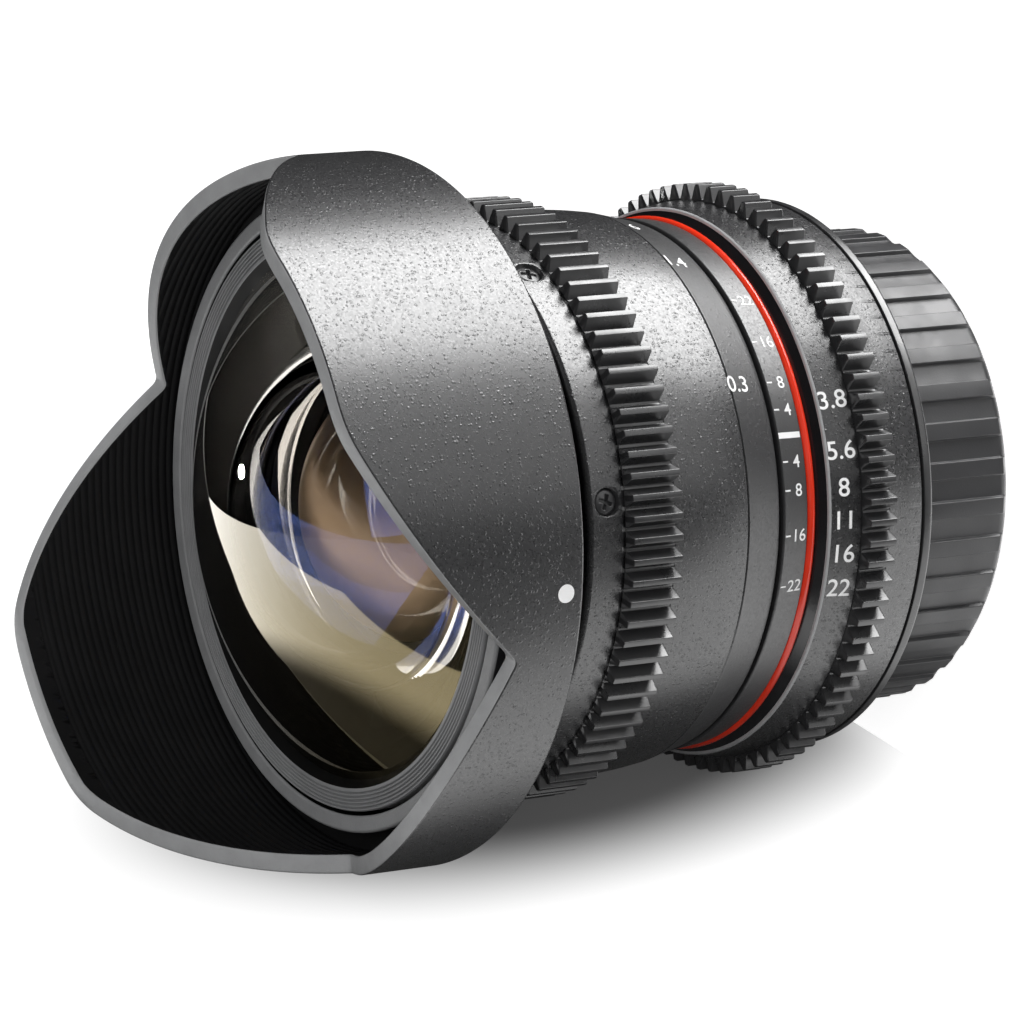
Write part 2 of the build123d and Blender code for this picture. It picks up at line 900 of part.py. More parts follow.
def blade_outline():
    """Crescent with a wide ear that carries the pivot and the drive pin, seen from the front."""
    crescent = Circle(blade_outer_curve) - Circle(blade_inner_curve)
    crescent &= make_face(
        Polyline((0, 0), polar(2 * blade_outer_curve, blade_sweep), (2 * blade_outer_curve, 0), close=True)
    )
    turn = Rot(0, 0, blade_rest_angle - 180)
    root = turn * Pos(*polar(blade_outer_curve - blade_ear_radius, blade_root_angle)) * Circle(blade_ear_radius)
    middle = Pos(*blade_centre(blade_rest_angle))
    pivot = Pos(blade_pivot_circle, 0) * Circle(blade_ear_radius)
    drive = Pos(*drive_pin_place(blade_rest_angle)) * Circle(drive_pin_ear_radius)
    ear = make_hull((middle * root).edges() + pivot.edges() + drive.edges())
    return middle * turn * crescent + ear


def iris_blade(number):
    """Blade on its own level, with a pivot pin towards the rear and a drive pin towards the front."""
    low = blade_first_z + number * blade_step
    leaf = Pos(0, 0, low) * extrude(blade_outline(), blade_thickness)
    pivot_pin = Pos(blade_pivot_circle, 0, 0) * disc(pin_radius, iris_low + pin_gap, low)
    drive_pin = Pos(*drive_pin_place(blade_rest_angle), 0) * disc(pin_radius, low, cam_high)
    return Rot(0, 0, number * 360 / blade_count) * (leaf + pivot_pin + drive_pin)


def iris_housing():
    housing = turned(
        (iris_opening, iris_low),
        (iris_radius, iris_low),
        (iris_radius, iris_wall_top),
        (iris_wall_bore, iris_wall_top),
        (iris_wall_bore, iris_plate_top),
        (iris_opening, iris_plate_top),
    )
    for angle in spread(blade_count):
        housing -= Pos(*polar(blade_pivot_circle, angle)) * disc(
            pin_radius + running_gap, iris_low, iris_plate_top
        )
    centre, width = link_window()
    return housing - sector(
        iris_wall_bore - cut_margin, iris_radius + cut_margin, cam_low - face_gap, iris_wall_top, centre, width
    )


def iris_cover_plate():
    return tube(iris_opening, iris_radius, iris_wall_top, iris_wall_top + iris_cover)


def cam_slot():
    """Arc through three places of the drive pin, seen from the turning cam plate."""
    places = []
    for share in cam_slot_shares:
        turn = aperture_throw * share
        x, y = drive_pin_place(blade_open_angle + blade_turn * share)
        places.append(Rot(0, 0, aperture_from_open - turn) * Pos(x, y, 0))
    points = [place.position for place in places]
    return SlotArc(ThreePointArc(*points), 2 * (pin_radius + pin_gap))


def cam_plate():
    """Ring that turns with the aperture ring and leads the six drive pins in its slots."""
    plate = tube(cam_bore, cam_radius, cam_low, cam_high)
    plate += sector(cam_radius - cut_margin, link_inner, cam_low, cam_high, link_angle, link_width)
    slot = extrude(cam_slot(), cam_high + cut_margin)
    for angle in spread(blade_count):
        plate -= Rot(0, 0, angle) * slot
    return plate


def aperture_link():
    """Bar from the aperture ring, through the barrel's arc slot, forward to the cam plate."""
    pin = sector(link_inner, link_reach, link_low, link_pin_high, link_angle, link_width)
    bar = sector(link_inner, link_outer, link_low, cam_high, link_angle, link_width)
    return pin + bar


# Rear cell


def rear_cell():
    cell = turned(
        (rear_retainer_bore, rear_cell_low),
        (rear_cell_radius, rear_cell_low),
        (rear_cell_radius, web_high),
        (rear_cell_flange_radius, web_high),
        (rear_cell_flange_radius, iris_low),
        (rear_stop_radius, iris_low),
        (rear_stop_radius, rear_doublet_high),
        (rear_doublet_radius + glass_gap, rear_doublet_high),
        (rear_doublet_radius + glass_gap, rear_seat_z),
        (rear_element_radius + glass_gap, rear_seat_z),
        (rear_element_radius + glass_gap, rear_cell_low),
    )
    for angle in spread(cell_screw_count, cell_screw_angle):
        cell -= Pos(*polar(cell_screw_circle, angle)) * disc(cell_screw_radius, web_high, iris_low)
    return cell


def cell_screws():
    """Screws through the rear cell's flange into the web, clear of the iris."""
    head = disc(cell_screw_head_radius, iris_low, iris_low + cell_screw_head)
    screw = head + disc(cell_screw_radius, cell_screw_tip_z, iris_low)
    return [
        Pos(*polar(cell_screw_circle, angle)) * screw for angle in spread(cell_screw_count, cell_screw_angle)
    ]


def rear_doublet_crown():
    blank = disc(rear_doublet_radius, rear_doublet_low, rear_doublet_high)
    blank = blank & ball(rear_doublet_curve, rear_doublet_low + rear_doublet_curve)
    return blank & ball(rear_doublet_joint_curve, rear_doublet_joint - rear_doublet_joint_curve)


def rear_doublet_flint():
    blank = disc(rear_doublet_radius, rear_doublet_low, rear_doublet_high)
    return blank - ball(rear_doublet_joint_curve, rear_doublet_joint - rear_doublet_joint_curve)


def lens_spacer():
    low = rear_element_high - sag(rear_element_curve, spacer_bore)
    high = rear_doublet_low + sag(rear_doublet_curve, spacer_bore)
    return tube(spacer_bore, rear_doublet_radius + glass_gap, low, high)


def rear_element():
    blank = disc(rear_element_radius, rear_element_low, rear_element_high)
    blank = blank & ball(rear_element_curve, rear_element_low + rear_element_curve)
    return blank & ball(rear_element_curve, rear_element_high - rear_element_curve)


def rear_retainer():
    high = rear_element_low + sag(rear_element_curve, rear_retainer_bore)
    return tube(rear_retainer_bore, rear_element_radius + glass_gap, rear_retainer_low, high)


nodes = {
    "rear_cap": rear_cap,
    "mount_flange": mount_flange,
    "mount_screws": mount_screws,
    "rear_baffle": rear_baffle,
    "rear_barrel": rear_barrel,
    "main_barrel": main_barrel,
    "index_ring": index_ring,
    "red_ring": red_ring,
    "front_barrel": front_barrel,
    "aperture_ring": aperture_ring,
    "aperture_gear": aperture_gear,
    "focus_ring": focus_ring,
    "focus_gear": focus_gear,
    "band_screws": band_screws,
    "hood": hood,
    "front_cell": front_cell,
    "follower_pins": follower_pins,
    "front_bezel": front_bezel,
    "front_element": front_element,
    "second_element": second_element,
    "second_retainer": second_retainer,
    "inner_cell": inner_cell,
    "third_element": third_element,
    "front_doublet_crown": front_doublet_crown,
    "front_doublet_flint": front_doublet_flint,
    "iris_housing": iris_housing,
    "iris_cover": iris_cover_plate,
    "cam_plate": cam_plate,
    "aperture_link": aperture_link,
    "rear_cell": rear_cell,
    "cell_screws": cell_screws,
    "rear_doublet_crown": rear_doublet_crown,
    "rear_doublet_flint": rear_doublet_flint,
    "doublet_spacer": doublet_spacer,
    "lens_spacer": lens_spacer,
    "rear_element": rear_element,
    "rear_retainer": rear_retainer,
}

os.makedirs("parts", exist_ok=True)
for name, build in nodes.items():
    made = build()
    shape = Compound(children=made) if isinstance(made, list) else made
    export_step(shape, f"parts/{name}.step")
    print(name, round(shape.volume, 1))
for number in range(blade_count):
    export_step(iris_blade(number), f"parts/iris_blade_{number + 1}.step")
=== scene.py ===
# %% [markdown]
# # A manual fisheye lens with a petal hood
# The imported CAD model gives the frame: the bodies that move, the places and the sizes. Every piece that
# shows is made again here as a fine surface worked out with numpy, because the CAD meshes are coarse.

import bmesh
import bpy
import math
import numpy as np
from mathutils import Matrix, Vector


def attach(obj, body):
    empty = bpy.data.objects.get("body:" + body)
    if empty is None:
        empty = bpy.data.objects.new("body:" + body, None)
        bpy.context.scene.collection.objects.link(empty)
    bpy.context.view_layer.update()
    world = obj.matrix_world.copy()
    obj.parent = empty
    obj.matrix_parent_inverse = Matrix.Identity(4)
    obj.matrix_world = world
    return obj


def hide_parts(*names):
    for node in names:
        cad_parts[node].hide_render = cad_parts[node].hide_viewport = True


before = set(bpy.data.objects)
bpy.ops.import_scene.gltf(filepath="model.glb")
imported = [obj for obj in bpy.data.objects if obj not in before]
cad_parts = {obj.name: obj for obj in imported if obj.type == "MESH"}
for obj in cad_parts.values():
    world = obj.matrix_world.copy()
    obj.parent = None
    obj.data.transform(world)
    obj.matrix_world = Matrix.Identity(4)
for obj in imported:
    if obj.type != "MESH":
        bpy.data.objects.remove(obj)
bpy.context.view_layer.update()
MM = 0.001

# %% [markdown]
# ## Camera
# The photograph was solved for its camera: the lens axis runs to the left and towards the viewer, and a
# long focal length keeps the rings almost parallel. The axis is turned back into the upright frame here.

# %% Camera
SENSOR_MM, PHOTO_PX = 36.0, 1024
PHOTO_FOCUS_PX = 6148.05
PHOTO_YAW = math.radians(32.4425)
PHOTO_PITCH = math.radians(4.7984)
PHOTO_POINT_MM = np.array([-2.6536, -1.5588, 749.642])
AXIS_POINT_Z_MM = 57.0


def photo_frame():
    """Three unit directions in camera terms: along the lens axis, image-up square to it, and the third."""
    axis = np.array(
        [
            -math.cos(PHOTO_YAW) * math.cos(PHOTO_PITCH),
            math.sin(PHOTO_PITCH),
            -math.sin(PHOTO_YAW) * math.cos(PHOTO_PITCH),
        ]
    )
    up = np.array([0.0, -1.0, 0.0])
    up = up - axis * (up @ axis)
    up = up / np.linalg.norm(up)
    return axis, up, np.cross(axis, up)


def to_object(direction):
    """A direction in camera terms (right, down, forward) as a direction in the object's frame."""
    axis, up, side = photo_frame()
    return np.array([direction @ up, direction @ side, direction @ axis])


def new_object(name, data):
    """An object that carries the data, linked into the scene."""
    thing = bpy.data.objects.new(name, data)
    bpy.context.scene.collection.objects.link(thing)
    return thing


camera_data = bpy.data.cameras.new("camera")
camera_data.sensor_width = SENSOR_MM
camera_data.lens = PHOTO_FOCUS_PX / PHOTO_PX * SENSOR_MM
camera = new_object("camera", camera_data)
turn = Matrix.Identity(4)
for column, direction in enumerate(([1, 0, 0], [0, -1, 0], [0, 0, -1])):
    for row, value in enumerate(to_object(np.array(direction, float))):
        turn[row][column] = value
place = to_object(-PHOTO_POINT_MM) + np.array([0, 0, AXIS_POINT_Z_MM])
camera.matrix_world = Matrix.Translation(Vector(place * MM)) @ turn
bpy.context.scene.camera = camera
bpy.context.scene.view_settings.view_transform = "Standard"
print("camera at mm", place.round(1))

# %% [markdown]
# ## Surfaces from numbers
# A turned part is a profile carried round the axis, and its corners are softened so that edges catch
# light. The same grid of rows and columns serves every piece, so one helper makes the mesh.

# %% Mesh helpers


def grid_faces(rows, columns, wrap_rows=True, wrap_columns=True):
    """Quads of a grid: corner (i, j), its right neighbour, the corner above that, the corner above (i, j)."""
    i = np.arange(rows if wrap_rows else rows - 1)[:, None]
    j = np.arange(columns if wrap_columns else columns - 1)[None, :]
    up = (i + 1) % rows
    right = (j + 1) % columns
    quads = [i * columns + j, i * columns + right, up * columns + right, up * columns + j]
    return np.stack([np.broadcast_to(q, (i.size, j.size)) for q in quads], -1).reshape(-1, 4)


def mesh_piece(
    name, points_mm, faces, body, replaces=(), slot=None, merge=0.0, weighted=True, finish=None
):
    """A mesh object in the object's frame, from points in millimetres and an array of quads."""
    mesh = bpy.data.meshes.new(name)
    points = np.asarray(points_mm, float).reshape(-1, 3) * MM
    mesh.vertices.add(len(points))
    mesh.vertices.foreach_set("co", points.ravel())
    mesh.loops.add(faces.size)
    mesh.loops.foreach_set("vertex_index", faces.ravel().astype(np.int32))
    mesh.polygons.add(len(faces))
    mesh.polygons.foreach_set("loop_start", np.arange(0, faces.size, 4, dtype=np.int32))
    mesh.update(calc_edges=True)
    mesh.validate()
    if merge:
        work = bmesh.new()
        work.from_mesh(mesh)
        bmesh.ops.remove_doubles(work, verts=work.verts, dist=merge * MM)
        bmesh.ops.dissolve_degenerate(work, edges=work.edges, dist=merge * MM)
        work.to_mesh(mesh)
        work.free()
    mesh.shade_smooth()
    piece = new_object(name, mesh)
    if weighted:
        normals = piece.modifiers.new("flat faces stay flat", "WEIGHTED_NORMAL")
        normals.weight = 70
    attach(piece, body)
    if replaces:
        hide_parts(*replaces)
    if finish:
        piece.data.materials.append(finish)
    return piece


def softened(corners, soft, steps=3):
    """Each corner p becomes the curve (1-t)^2 a + 2t(1-t) p + t^2 b, from a on one side to b on the other."""
    p = np.array([c[:2] for c in corners], float)
    size = np.array([c[2] if len(c) > 2 else soft for c in corners])[:, None]
    back = np.roll(p, 1, 0) - p
    ahead = np.roll(p, -1, 0) - p
    back_length = np.linalg.norm(back, axis=1, keepdims=True)
    ahead_length = np.linalg.norm(ahead, axis=1, keepdims=True)
    a = (p + back / back_length * np.minimum(size, 0.45 * back_length))[:, None]
    b = (p + ahead / ahead_length * np.minimum(size, 0.45 * ahead_length))[:, None]
    t = np.linspace(0, 1, steps + 1)[None, :, None]
    curve = ((1 - t) ** 2 * a + 2 * t * (1 - t) * p[:, None] + t**2 * b).reshape(-1, 2)
    return curve[np.linalg.norm(curve - np.roll(curve, 1, 0), axis=1) > 1e-6]


def outward(profile):
    """The profile (radius, height) ordered so that the faces of its turned surface look outwards."""
    r, z = profile.T
    area = np.sum(r * np.roll(z, -1) - np.roll(r, -1) * z)
    return profile if area > 0 else profile[::-1]


def round_axis(profile, segments):
    """Each profile point (r, z) carried round the axis: (r cos a, r sin a, z) for every angle a."""
    a = np.linspace(0, 2 * np.pi, segments, endpoint=False)[None, :]
    r, z = profile[:, 0][:, None], profile[:, 1][:, None]
    return np.stack([r * np.cos(a), r * np.sin(a), z + 0 * a], -1)


def turned(name, corners, body, soft=0.12, segments=360, **facts):
    """A closed profile with softened corners, turned round the axis."""
    profile = outward(softened(corners, soft))
    faces = grid_faces(len(profile), segments)
    return mesh_piece(name, round_axis(profile, segments), faces, body, **facts)


def on_ring(slope, angle_deg, z, along, up, lift=0.0):
    """Points laid on a ring: local x runs to the rear (-z), local y runs round it (+angle).

    slope gives the ring's radius at two heights, ((z1, r1), (z2, r2)), or is one plain radius.
    """
    height = z - along
    if np.ndim(slope):
        (z1, r1), (z2, r2) = slope
        radius = r1 + (height - z1) * (r2 - r1) / (z2 - z1)
    else:
        radius = slope + 0 * height
    a = math.radians(angle_deg) + up / radius
    r = radius + lift
    return np.stack([r * np.cos(a), r * np.sin(a), height + 0 * a], -1)


# %% [markdown]
# ## Materials
# The body wears a splatter paint: small raised drops on a fine ground. The gears are bare and slick, the
# hood is dull inside, and one bead is glossy red. Each finish is a small node tree on Object coordinates.

# %% Material helpers


def new_material(name, base, roughness, metallic=0.0, specular=0.5):
    material = bpy.data.materials.new(name)
    material.use_nodes = True
    shader = material.node_tree.nodes["Principled BSDF"]
    shader.inputs["Base Color"].default_value = (*base, 1)
    shader.inputs["Roughness"].default_value = roughness
    shader.inputs["Metallic"].default_value = metallic
    shader.inputs["Specular IOR Level"].default_value = specular
    return material, material.node_tree, shader


def add(tree, kind, **settings):
    """A node: sockets gives its inputs' values by name, and the other settings are its properties."""
    node = tree.nodes.new(kind)
    for key, value in settings.pop("sockets", {}).items():
        node.inputs[key].default_value = value
    for key, value in settings.items():
        setattr(node, key, value)
    return node


def object_coordinates(tree):
    return add(tree, "ShaderNodeTexCoord").outputs["Object"]


def noise(tree, where, scale, detail):
    node = add(tree, "ShaderNodeTexNoise", sockets={"Scale": scale, "Detail": detail})
    tree.links.new(where, node.inputs["Vector"])
    return node.outputs["Fac"]


def ramp(tree, value, low, high, start=0.0, end=1.0):
    node = add(tree, "ShaderNodeMapRange", interpolation_type="SMOOTHSTEP")
    node.inputs["From Min"].default_value = low
    node.inputs["From Max"].default_value = high
    node.inputs["To Min"].default_value = start
    node.inputs["To Max"].default_value = end
    tree.links.new(value, node.inputs["Value"])
    return node.outputs["Result"]


def math_node(tree, operation, a, b):
    node = add(tree, "ShaderNodeMath", operation=operation)
    for socket, value in zip(node.inputs, (a, b)):
        if isinstance(value, (int, float)):
            socket.default_value = value
        else:
            tree.links.new(value, socket)
    return node.outputs["Value"]


def bump(tree, shader, height, distance_mm):
    node = add(tree, "ShaderNodeBump", sockets={"Strength": 1.0, "Distance": distance_mm * MM})
    tree.links.new(height, node.inputs["Height"])
    tree.links.new(node.outputs["Normal"], shader.inputs["Normal"])


def vary_colour(tree, shader, fac, dark, light):
    node = add(tree, "ShaderNodeMix", data_type="RGBA")
    tree.links.new(fac, node.inputs["Factor"])
    node.inputs["A"].default_value = (*dark, 1)
    node.inputs["B"].default_value = (*light, 1)
    tree.links.new(node.outputs["Result"], shader.inputs["Base Color"])


def drops(tree, where, cell_mm, kept_share):
    """One round drop in some cells: its radius grows with the cell's random number above a threshold."""
    cells = add(tree, "ShaderNodeTexVoronoi", sockets={"Scale": 1 / (cell_mm * MM), "Randomness": 1.0})
    tree.links.new(where, cells.inputs["Vector"])
    chance = add(tree, "ShaderNodeSeparateXYZ")
    tree.links.new(cells.outputs["Color"], chance.inputs[0])
    radius = ramp(tree, chance.outputs["X"], 1 - kept_share, 1.0, 0.0, 0.46)
    return ramp(tree, math_node(tree, "SUBTRACT", radius, cells.outputs["Distance"]), 0.0, 0.2)


def splatter_paint(name, base, roughness=0.3, height_mm=0.035, drop_mm=0.48, specular=0.85):
    """Splatter paint: scattered uneven drops of two sizes over a fine ground."""
    material, tree, shader = new_material(name, base, roughness, specular=specular)
    where = object_coordinates(tree)
    ground = noise(tree, where, 1 / (0.3 * MM), 3.0)
    wobble = add(tree, "ShaderNodeTexNoise", sockets={"Scale": 1 / (0.5 * MM), "Detail": 2.0})
    tree.links.new(where, wobble.inputs["Vector"])
    shifted = add(tree, "ShaderNodeVectorMath", operation="MULTIPLY_ADD")
    tree.links.new(wobble.outputs["Color"], shifted.inputs[0])
    shifted.inputs[1].default_value = (0.3 * MM, 0.3 * MM, 0.3 * MM)
    tree.links.new(where, shifted.inputs[2])
    uneven = shifted.outputs[0]
    small = math_node(tree, "MULTIPLY", drops(tree, uneven, 0.5 * drop_mm, 0.5), 0.5)
    height = math_node(tree, "MAXIMUM", drops(tree, uneven, drop_mm, 0.85), small)
    height = math_node(tree, "ADD", height, math_node(tree, "MULTIPLY", ground, 0.3))
    bump(tree, shader, height, height_mm)
    tone = noise(tree, where, 1 / (2.5 * MM), 3.0)
    vary_colour(tree, shader, tone, tuple(0.82 * c for c in base), tuple(1.2 * c for c in base))
    gloss = ramp(tree, ground, 0.3, 0.7, roughness - 0.05, roughness + 0.08)
    tree.links.new(gloss, shader.inputs["Roughness"])
    return material


def slick_black(name, base, roughness=0.28, grain_mm=0.3, height_mm=0.006, specular=0.5):
    """Bare dark surface: a faint grain in height and gloss."""
    material, tree, shader = new_material(name, base, roughness, specular=specular)
    where = object_coordinates(tree)
    grain = noise(tree, where, 1 / (grain_mm * MM), 3.0)
    bump(tree, shader, grain, height_mm)
    slow = noise(tree, where, 1 / (4 * MM), 2.0)
    gloss = ramp(tree, slow, 0.3, 0.7, roughness - 0.05, roughness + 0.07)
    tree.links.new(gloss, shader.inputs["Roughness"])
    vary_colour(tree, shader, slow, tuple(0.85 * c for c in base), tuple(1.2 * c for c in base))
    return material


def plain_metal(name, base, roughness, grain_mm=0.4):
    """Turned metal: a fine grain in gloss and a slow change of tone."""
    material, tree, shader = new_material(name, base, roughness, metallic=1.0)
    where = object_coordinates(tree)
    grain = noise(tree, where, 1 / (grain_mm * MM), 4.0)
    gloss = ramp(tree, grain, 0.3, 0.7, roughness - 0.08, roughness + 0.1)
    tree.links.new(gloss, shader.inputs["Roughness"])
    vary_colour(tree, shader, noise(tree, where, 1 / (3 * MM), 2.0), tuple(0.9 * c for c in base), base)
    bump(tree, shader, grain, 0.004)
    return material


def paint_node(node, finish):
    """Gives a CAD node its finish without touching its mesh."""
    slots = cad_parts[node].data.materials
    slots.clear()
    slots.append(finish)


# %% Finishes
body_paint = splatter_paint("body_paint", (0.019, 0.019, 0.02))
hood_paint = splatter_paint("hood_paint", (0.02, 0.02, 0.021), roughness=0.31)
# The rim paint is the body's black paint made light grey: painted light on the hood's cut rims and the
# aperture ring's lip.
rim_painted_light = splatter_paint("rim_painted_light", (0.29, 0.293, 0.298), roughness=0.5, height_mm=0.015, drop_mm=0.35)
band_paint = splatter_paint("band_paint", (0.02, 0.02, 0.021), roughness=0.38, height_mm=0.012)
gear_black = slick_black("gear_black", (0.02, 0.02, 0.021), roughness=0.3, specular=0.8)
cone_black = slick_black("cone_black", (0.008, 0.008, 0.009), roughness=0.16)
hood_inside = slick_black("hood_inside", (0.009, 0.009, 0.0095), roughness=0.6, specular=0.2)
inner_black = slick_black("inner_black", (0.006, 0.006, 0.006), roughness=0.5, specular=0.25)
# The bezel is black anodised metal; its mid grey here is painted light on its grooved front face.
bezel_painted_light = slick_black("bezel_painted_light", (0.2, 0.202, 0.206), roughness=0.4)
# The flare's front face wears the body's black paint made mid grey: painted light on a face the lamps barely
# reach.
flare_painted_light = splatter_paint("flare_painted_light", (0.21, 0.212, 0.216), roughness=0.5, height_mm=0.015, drop_mm=0.4)
cap_plastic = slick_black("cap_plastic", (0.02, 0.02, 0.0215), roughness=0.4, grain_mm=0.25, height_mm=0.012)
screw_black = slick_black("screw_black", (0.02, 0.02, 0.021), roughness=0.3, specular=0.8)
red_gloss = slick_black("red_gloss", (0.62, 0.028, 0.008), roughness=0.2, height_mm=0.002)
white_mark = slick_black("white_mark", (0.86, 0.86, 0.86), roughness=0.5, height_mm=0.003)
mount_chrome = plain_metal("mount_chrome", (0.72, 0.72, 0.74), 0.22)
pin_brass = plain_metal("pin_brass", (0.72, 0.5, 0.2), 0.3)
blade_steel = plain_metal("blade_steel", (0.1, 0.1, 0.11), 0.4)
print("materials:", len(bpy.data.materials))


def coated_glass(name, tint, ior=1.45):
    """Smooth clear glass with a faint tint. ior says how much it bends the view of what lies behind."""
    material, tree, shader = new_material(name, tint, 0.0)
    shader.inputs["Transmission Weight"].default_value = 1.0
    shader.inputs["IOR"].default_value = ior
    return material


def coating(name, tint, least, most, painted_fade_tint=None, roughness=0.02):
    """A thin mirror coat: it covers least of the view face on and most of it at a glancing view.

    With a painted fade tint the coat's colour darkens and browns across the glass, from x + y = 20 mm
    to x + y = -38 mm: a painted dimming of the coat's real reflection on that side.
    """
    material, tree, shader = new_material(name, tint, roughness, metallic=1.0)
    if painted_fade_tint:
        place = add(tree, "ShaderNodeSeparateXYZ")
        tree.links.new(object_coordinates(tree), place.inputs[0])
        across = math_node(tree, "ADD", place.outputs["X"], place.outputs["Y"])
        vary_colour(tree, shader, ramp(tree, across, 20 * MM, -38 * MM), tint, painted_fade_tint)
    facing = add(tree, "ShaderNodeLayerWeight", sockets={"Blend": 0.35})
    tree.links.new(ramp(tree, facing.outputs["Facing"], 0.0, 1.0, least, most), shader.inputs["Alpha"])
    return material


clear_glass = coated_glass("clear_glass", (0.98, 0.98, 0.97))
warm_glass = coated_glass("warm_glass", (0.97, 0.93, 0.87), ior=1.2)
edge_black = slick_black("edge_black", (0.002, 0.002, 0.002), roughness=0.9, specular=0.0)
# The amber coat's colour darkens and browns towards low x + y, a painted dimming of its reflection there.
amber_coat = coating("amber_coat", (0.95, 0.91, 0.82), 0.17, 0.76, painted_fade_tint=(0.56, 0.46, 0.25))
rose_coat = coating("rose_coat", (0.95, 0.7, 0.47), 0.45, 0.65, roughness=0.42)
blue_coat = coating("blue_coat", (0.12, 0.26, 1.0), 0.14, 0.2)
green_coat = coating("green_coat", (0.75, 0.85, 0.35), 0.1, 0.4)

# %% [markdown]
# ## Petal hood
# The hood is one round shell whose rim follows a single outline: two tall petals with flat tips, two low
# ones with a curved crown. A column at angle a ends at H(R sin a), where R is the outer radius, inside and
# outside alike, so the rim's face is square to the wall. Fine ribs line the inside against stray light.

# %% Petal hood
HOOD_R, HOOD_BORE = 43.3, 41.0
HOOD_LOW, HOOD_FLOOR = 71.8, 77.0
SEAT_R, CHANNEL_R = 38.5, 40.0
CHANNEL_LOW, CHANNEL_TOP = 73.45, 75.15
SHORT_PETAL_ANGLE = 33.0
CROWN_RADIUS, CROWN_TOP = 56.0, 85.5
NOTCH_X, NOTCH_Z = 24.2, 80.0
TIP_X, TIP_Z = 41.4, 102.0
RIB_PITCH, RIB_DEPTH, RIB_TOP = 1.02, 0.16, 98.8
RIB_SHARES = [0.0, 0.12, 0.3, 0.9]
OUTSIDE, RIM, INSIDE = 0, 1, 2


def soft_max(a, b, k):
    """The larger of two values, with the corner where they meet rounded over a height k."""
    h = np.maximum(k - np.abs(a - b), 0) / k
    return np.maximum(a, b) + h * h * k / 4


def rim_height(x):
    """Height of the cut: the larger of a crown arc and a straight slope, and never above the tips."""
    x = np.abs(x)
    crown = CROWN_TOP - CROWN_RADIUS + np.sqrt(CROWN_RADIUS**2 - np.minimum(x, 50) ** 2)
    slope = NOTCH_Z + (x - NOTCH_X) * (TIP_Z - NOTCH_Z) / (TIP_X - NOTCH_X)
    return -soft_max(-soft_max(crown, slope, 1.0), -TIP_Z, 1.2)


def rib_radius(z, rim):
    """Inside radius against height: shallow lands and grooves that die out just below the cut rim."""
    share = np.mod(z - HOOD_FLOOR, RIB_PITCH) / RIB_PITCH
    depth = np.interp(share, RIB_SHARES + [1.0], [0.0, 0.0, RIB_DEPTH, RIB_DEPTH, 0.0])
    return HOOD_BORE - depth * np.clip((RIB_TOP - z) / 0.4, 0, 1) * np.clip((rim - z) / 0.8, 0, 1)


def hood_columns():
    """Angles of the columns, closer together at the notches and the tip corners."""
    even = np.linspace(0, 90, 200)
    notch = math.degrees(math.asin(NOTCH_X / HOOD_R)) + np.linspace(-2.5, 2.5, 22)
    tip = math.degrees(math.asin(TIP_X / HOOD_R)) + np.linspace(-3, 3, 16)
    quarter = np.unique(np.concatenate([even, notch, tip]).round(4))
    half = np.concatenate([quarter, 180 - quarter[::-1][1:]])
    return np.radians(np.concatenate([half, half[1:-1] + 180]))


def hood_surface():
    """Rows (radius, height, angle) go round the wall's section, each with the number of its finish."""
    a = hood_columns()
    top = rim_height(HOOD_R * np.sin(a))
    end = top - 0.3
    outside = [(SEAT_R, HOOD_LOW + 0.15), (SEAT_R + 0.15, HOOD_LOW), (HOOD_R - 0.35, HOOD_LOW)]
    outside += [(HOOD_R - 0.1, HOOD_LOW + 0.08), (HOOD_R, HOOD_LOW + 0.35), (HOOD_R, top - 0.32)]
    rim = [(HOOD_R - 0.08, top - 0.08), (HOOD_R - 0.3, top)]
    rim += [(HOOD_BORE + 0.2, top), (HOOD_BORE, top - 0.15)]
    levels = np.arange(HOOD_FLOOR, 99.2, RIB_PITCH)[:, None] + np.array(RIB_SHARES) * RIB_PITCH
    heights = [np.minimum(z, end) for z in np.concatenate([levels.ravel(), [99.3, 100.4, 101.5]])[::-1]]
    inside = [(rib_radius(z, end), z) for z in heights]
    inside += [(HOOD_BORE, HOOD_FLOOR), (SEAT_R, HOOD_FLOOR)]
    inside += [(SEAT_R, CHANNEL_TOP), (CHANNEL_R, CHANNEL_TOP), (CHANNEL_R, CHANNEL_LOW)]
    section = outside + rim + inside + [(SEAT_R, CHANNEL_LOW)]
    kinds = [OUTSIDE] * len(outside) + [RIM] * len(rim) + [INSIDE] * len(inside) + [OUTSIDE]
    return np.array([np.stack([r + 0 * a, z + 0 * a, a], -1) for r, z in section]), kinds


def make_hood():
    rows, kinds = hood_surface()
    r, z, a = rows[..., 0], rows[..., 1], rows[..., 2] + math.radians(SHORT_PETAL_ANGLE)
    points = np.stack([r * np.cos(a), r * np.sin(a), z], -1)
    faces = grid_faces(*r.shape)
    piece = mesh_piece("petal_hood", points, faces, "hood_body", replaces=["hood"], slot="hood_black")
    # The cut rims take the light grey rim paint, a painted light.
    for material in (hood_paint, rim_painted_light, hood_inside):
        piece.data.materials.append(material)
    tones = np.repeat(np.array(kinds), r.shape[1])
    piece.data.polygons.foreach_set("material_index", tones[: len(piece.data.polygons)].astype(np.int32))
    return piece


hood_piece = make_hood()
print("hood faces:", len(hood_piece.data.polygons))

# %% [markdown]
# ## Geared rings
# Both gears are the film standard of 0.8 mm module with 90 teeth. The tooth's flanks are straight at 20
# degrees, so its half width at radius r is a fixed value less (r - pitch radius) tan 20. One outline of
# radius against angle is repeated 90 times and carried along the axis, with small bevels at its ends.

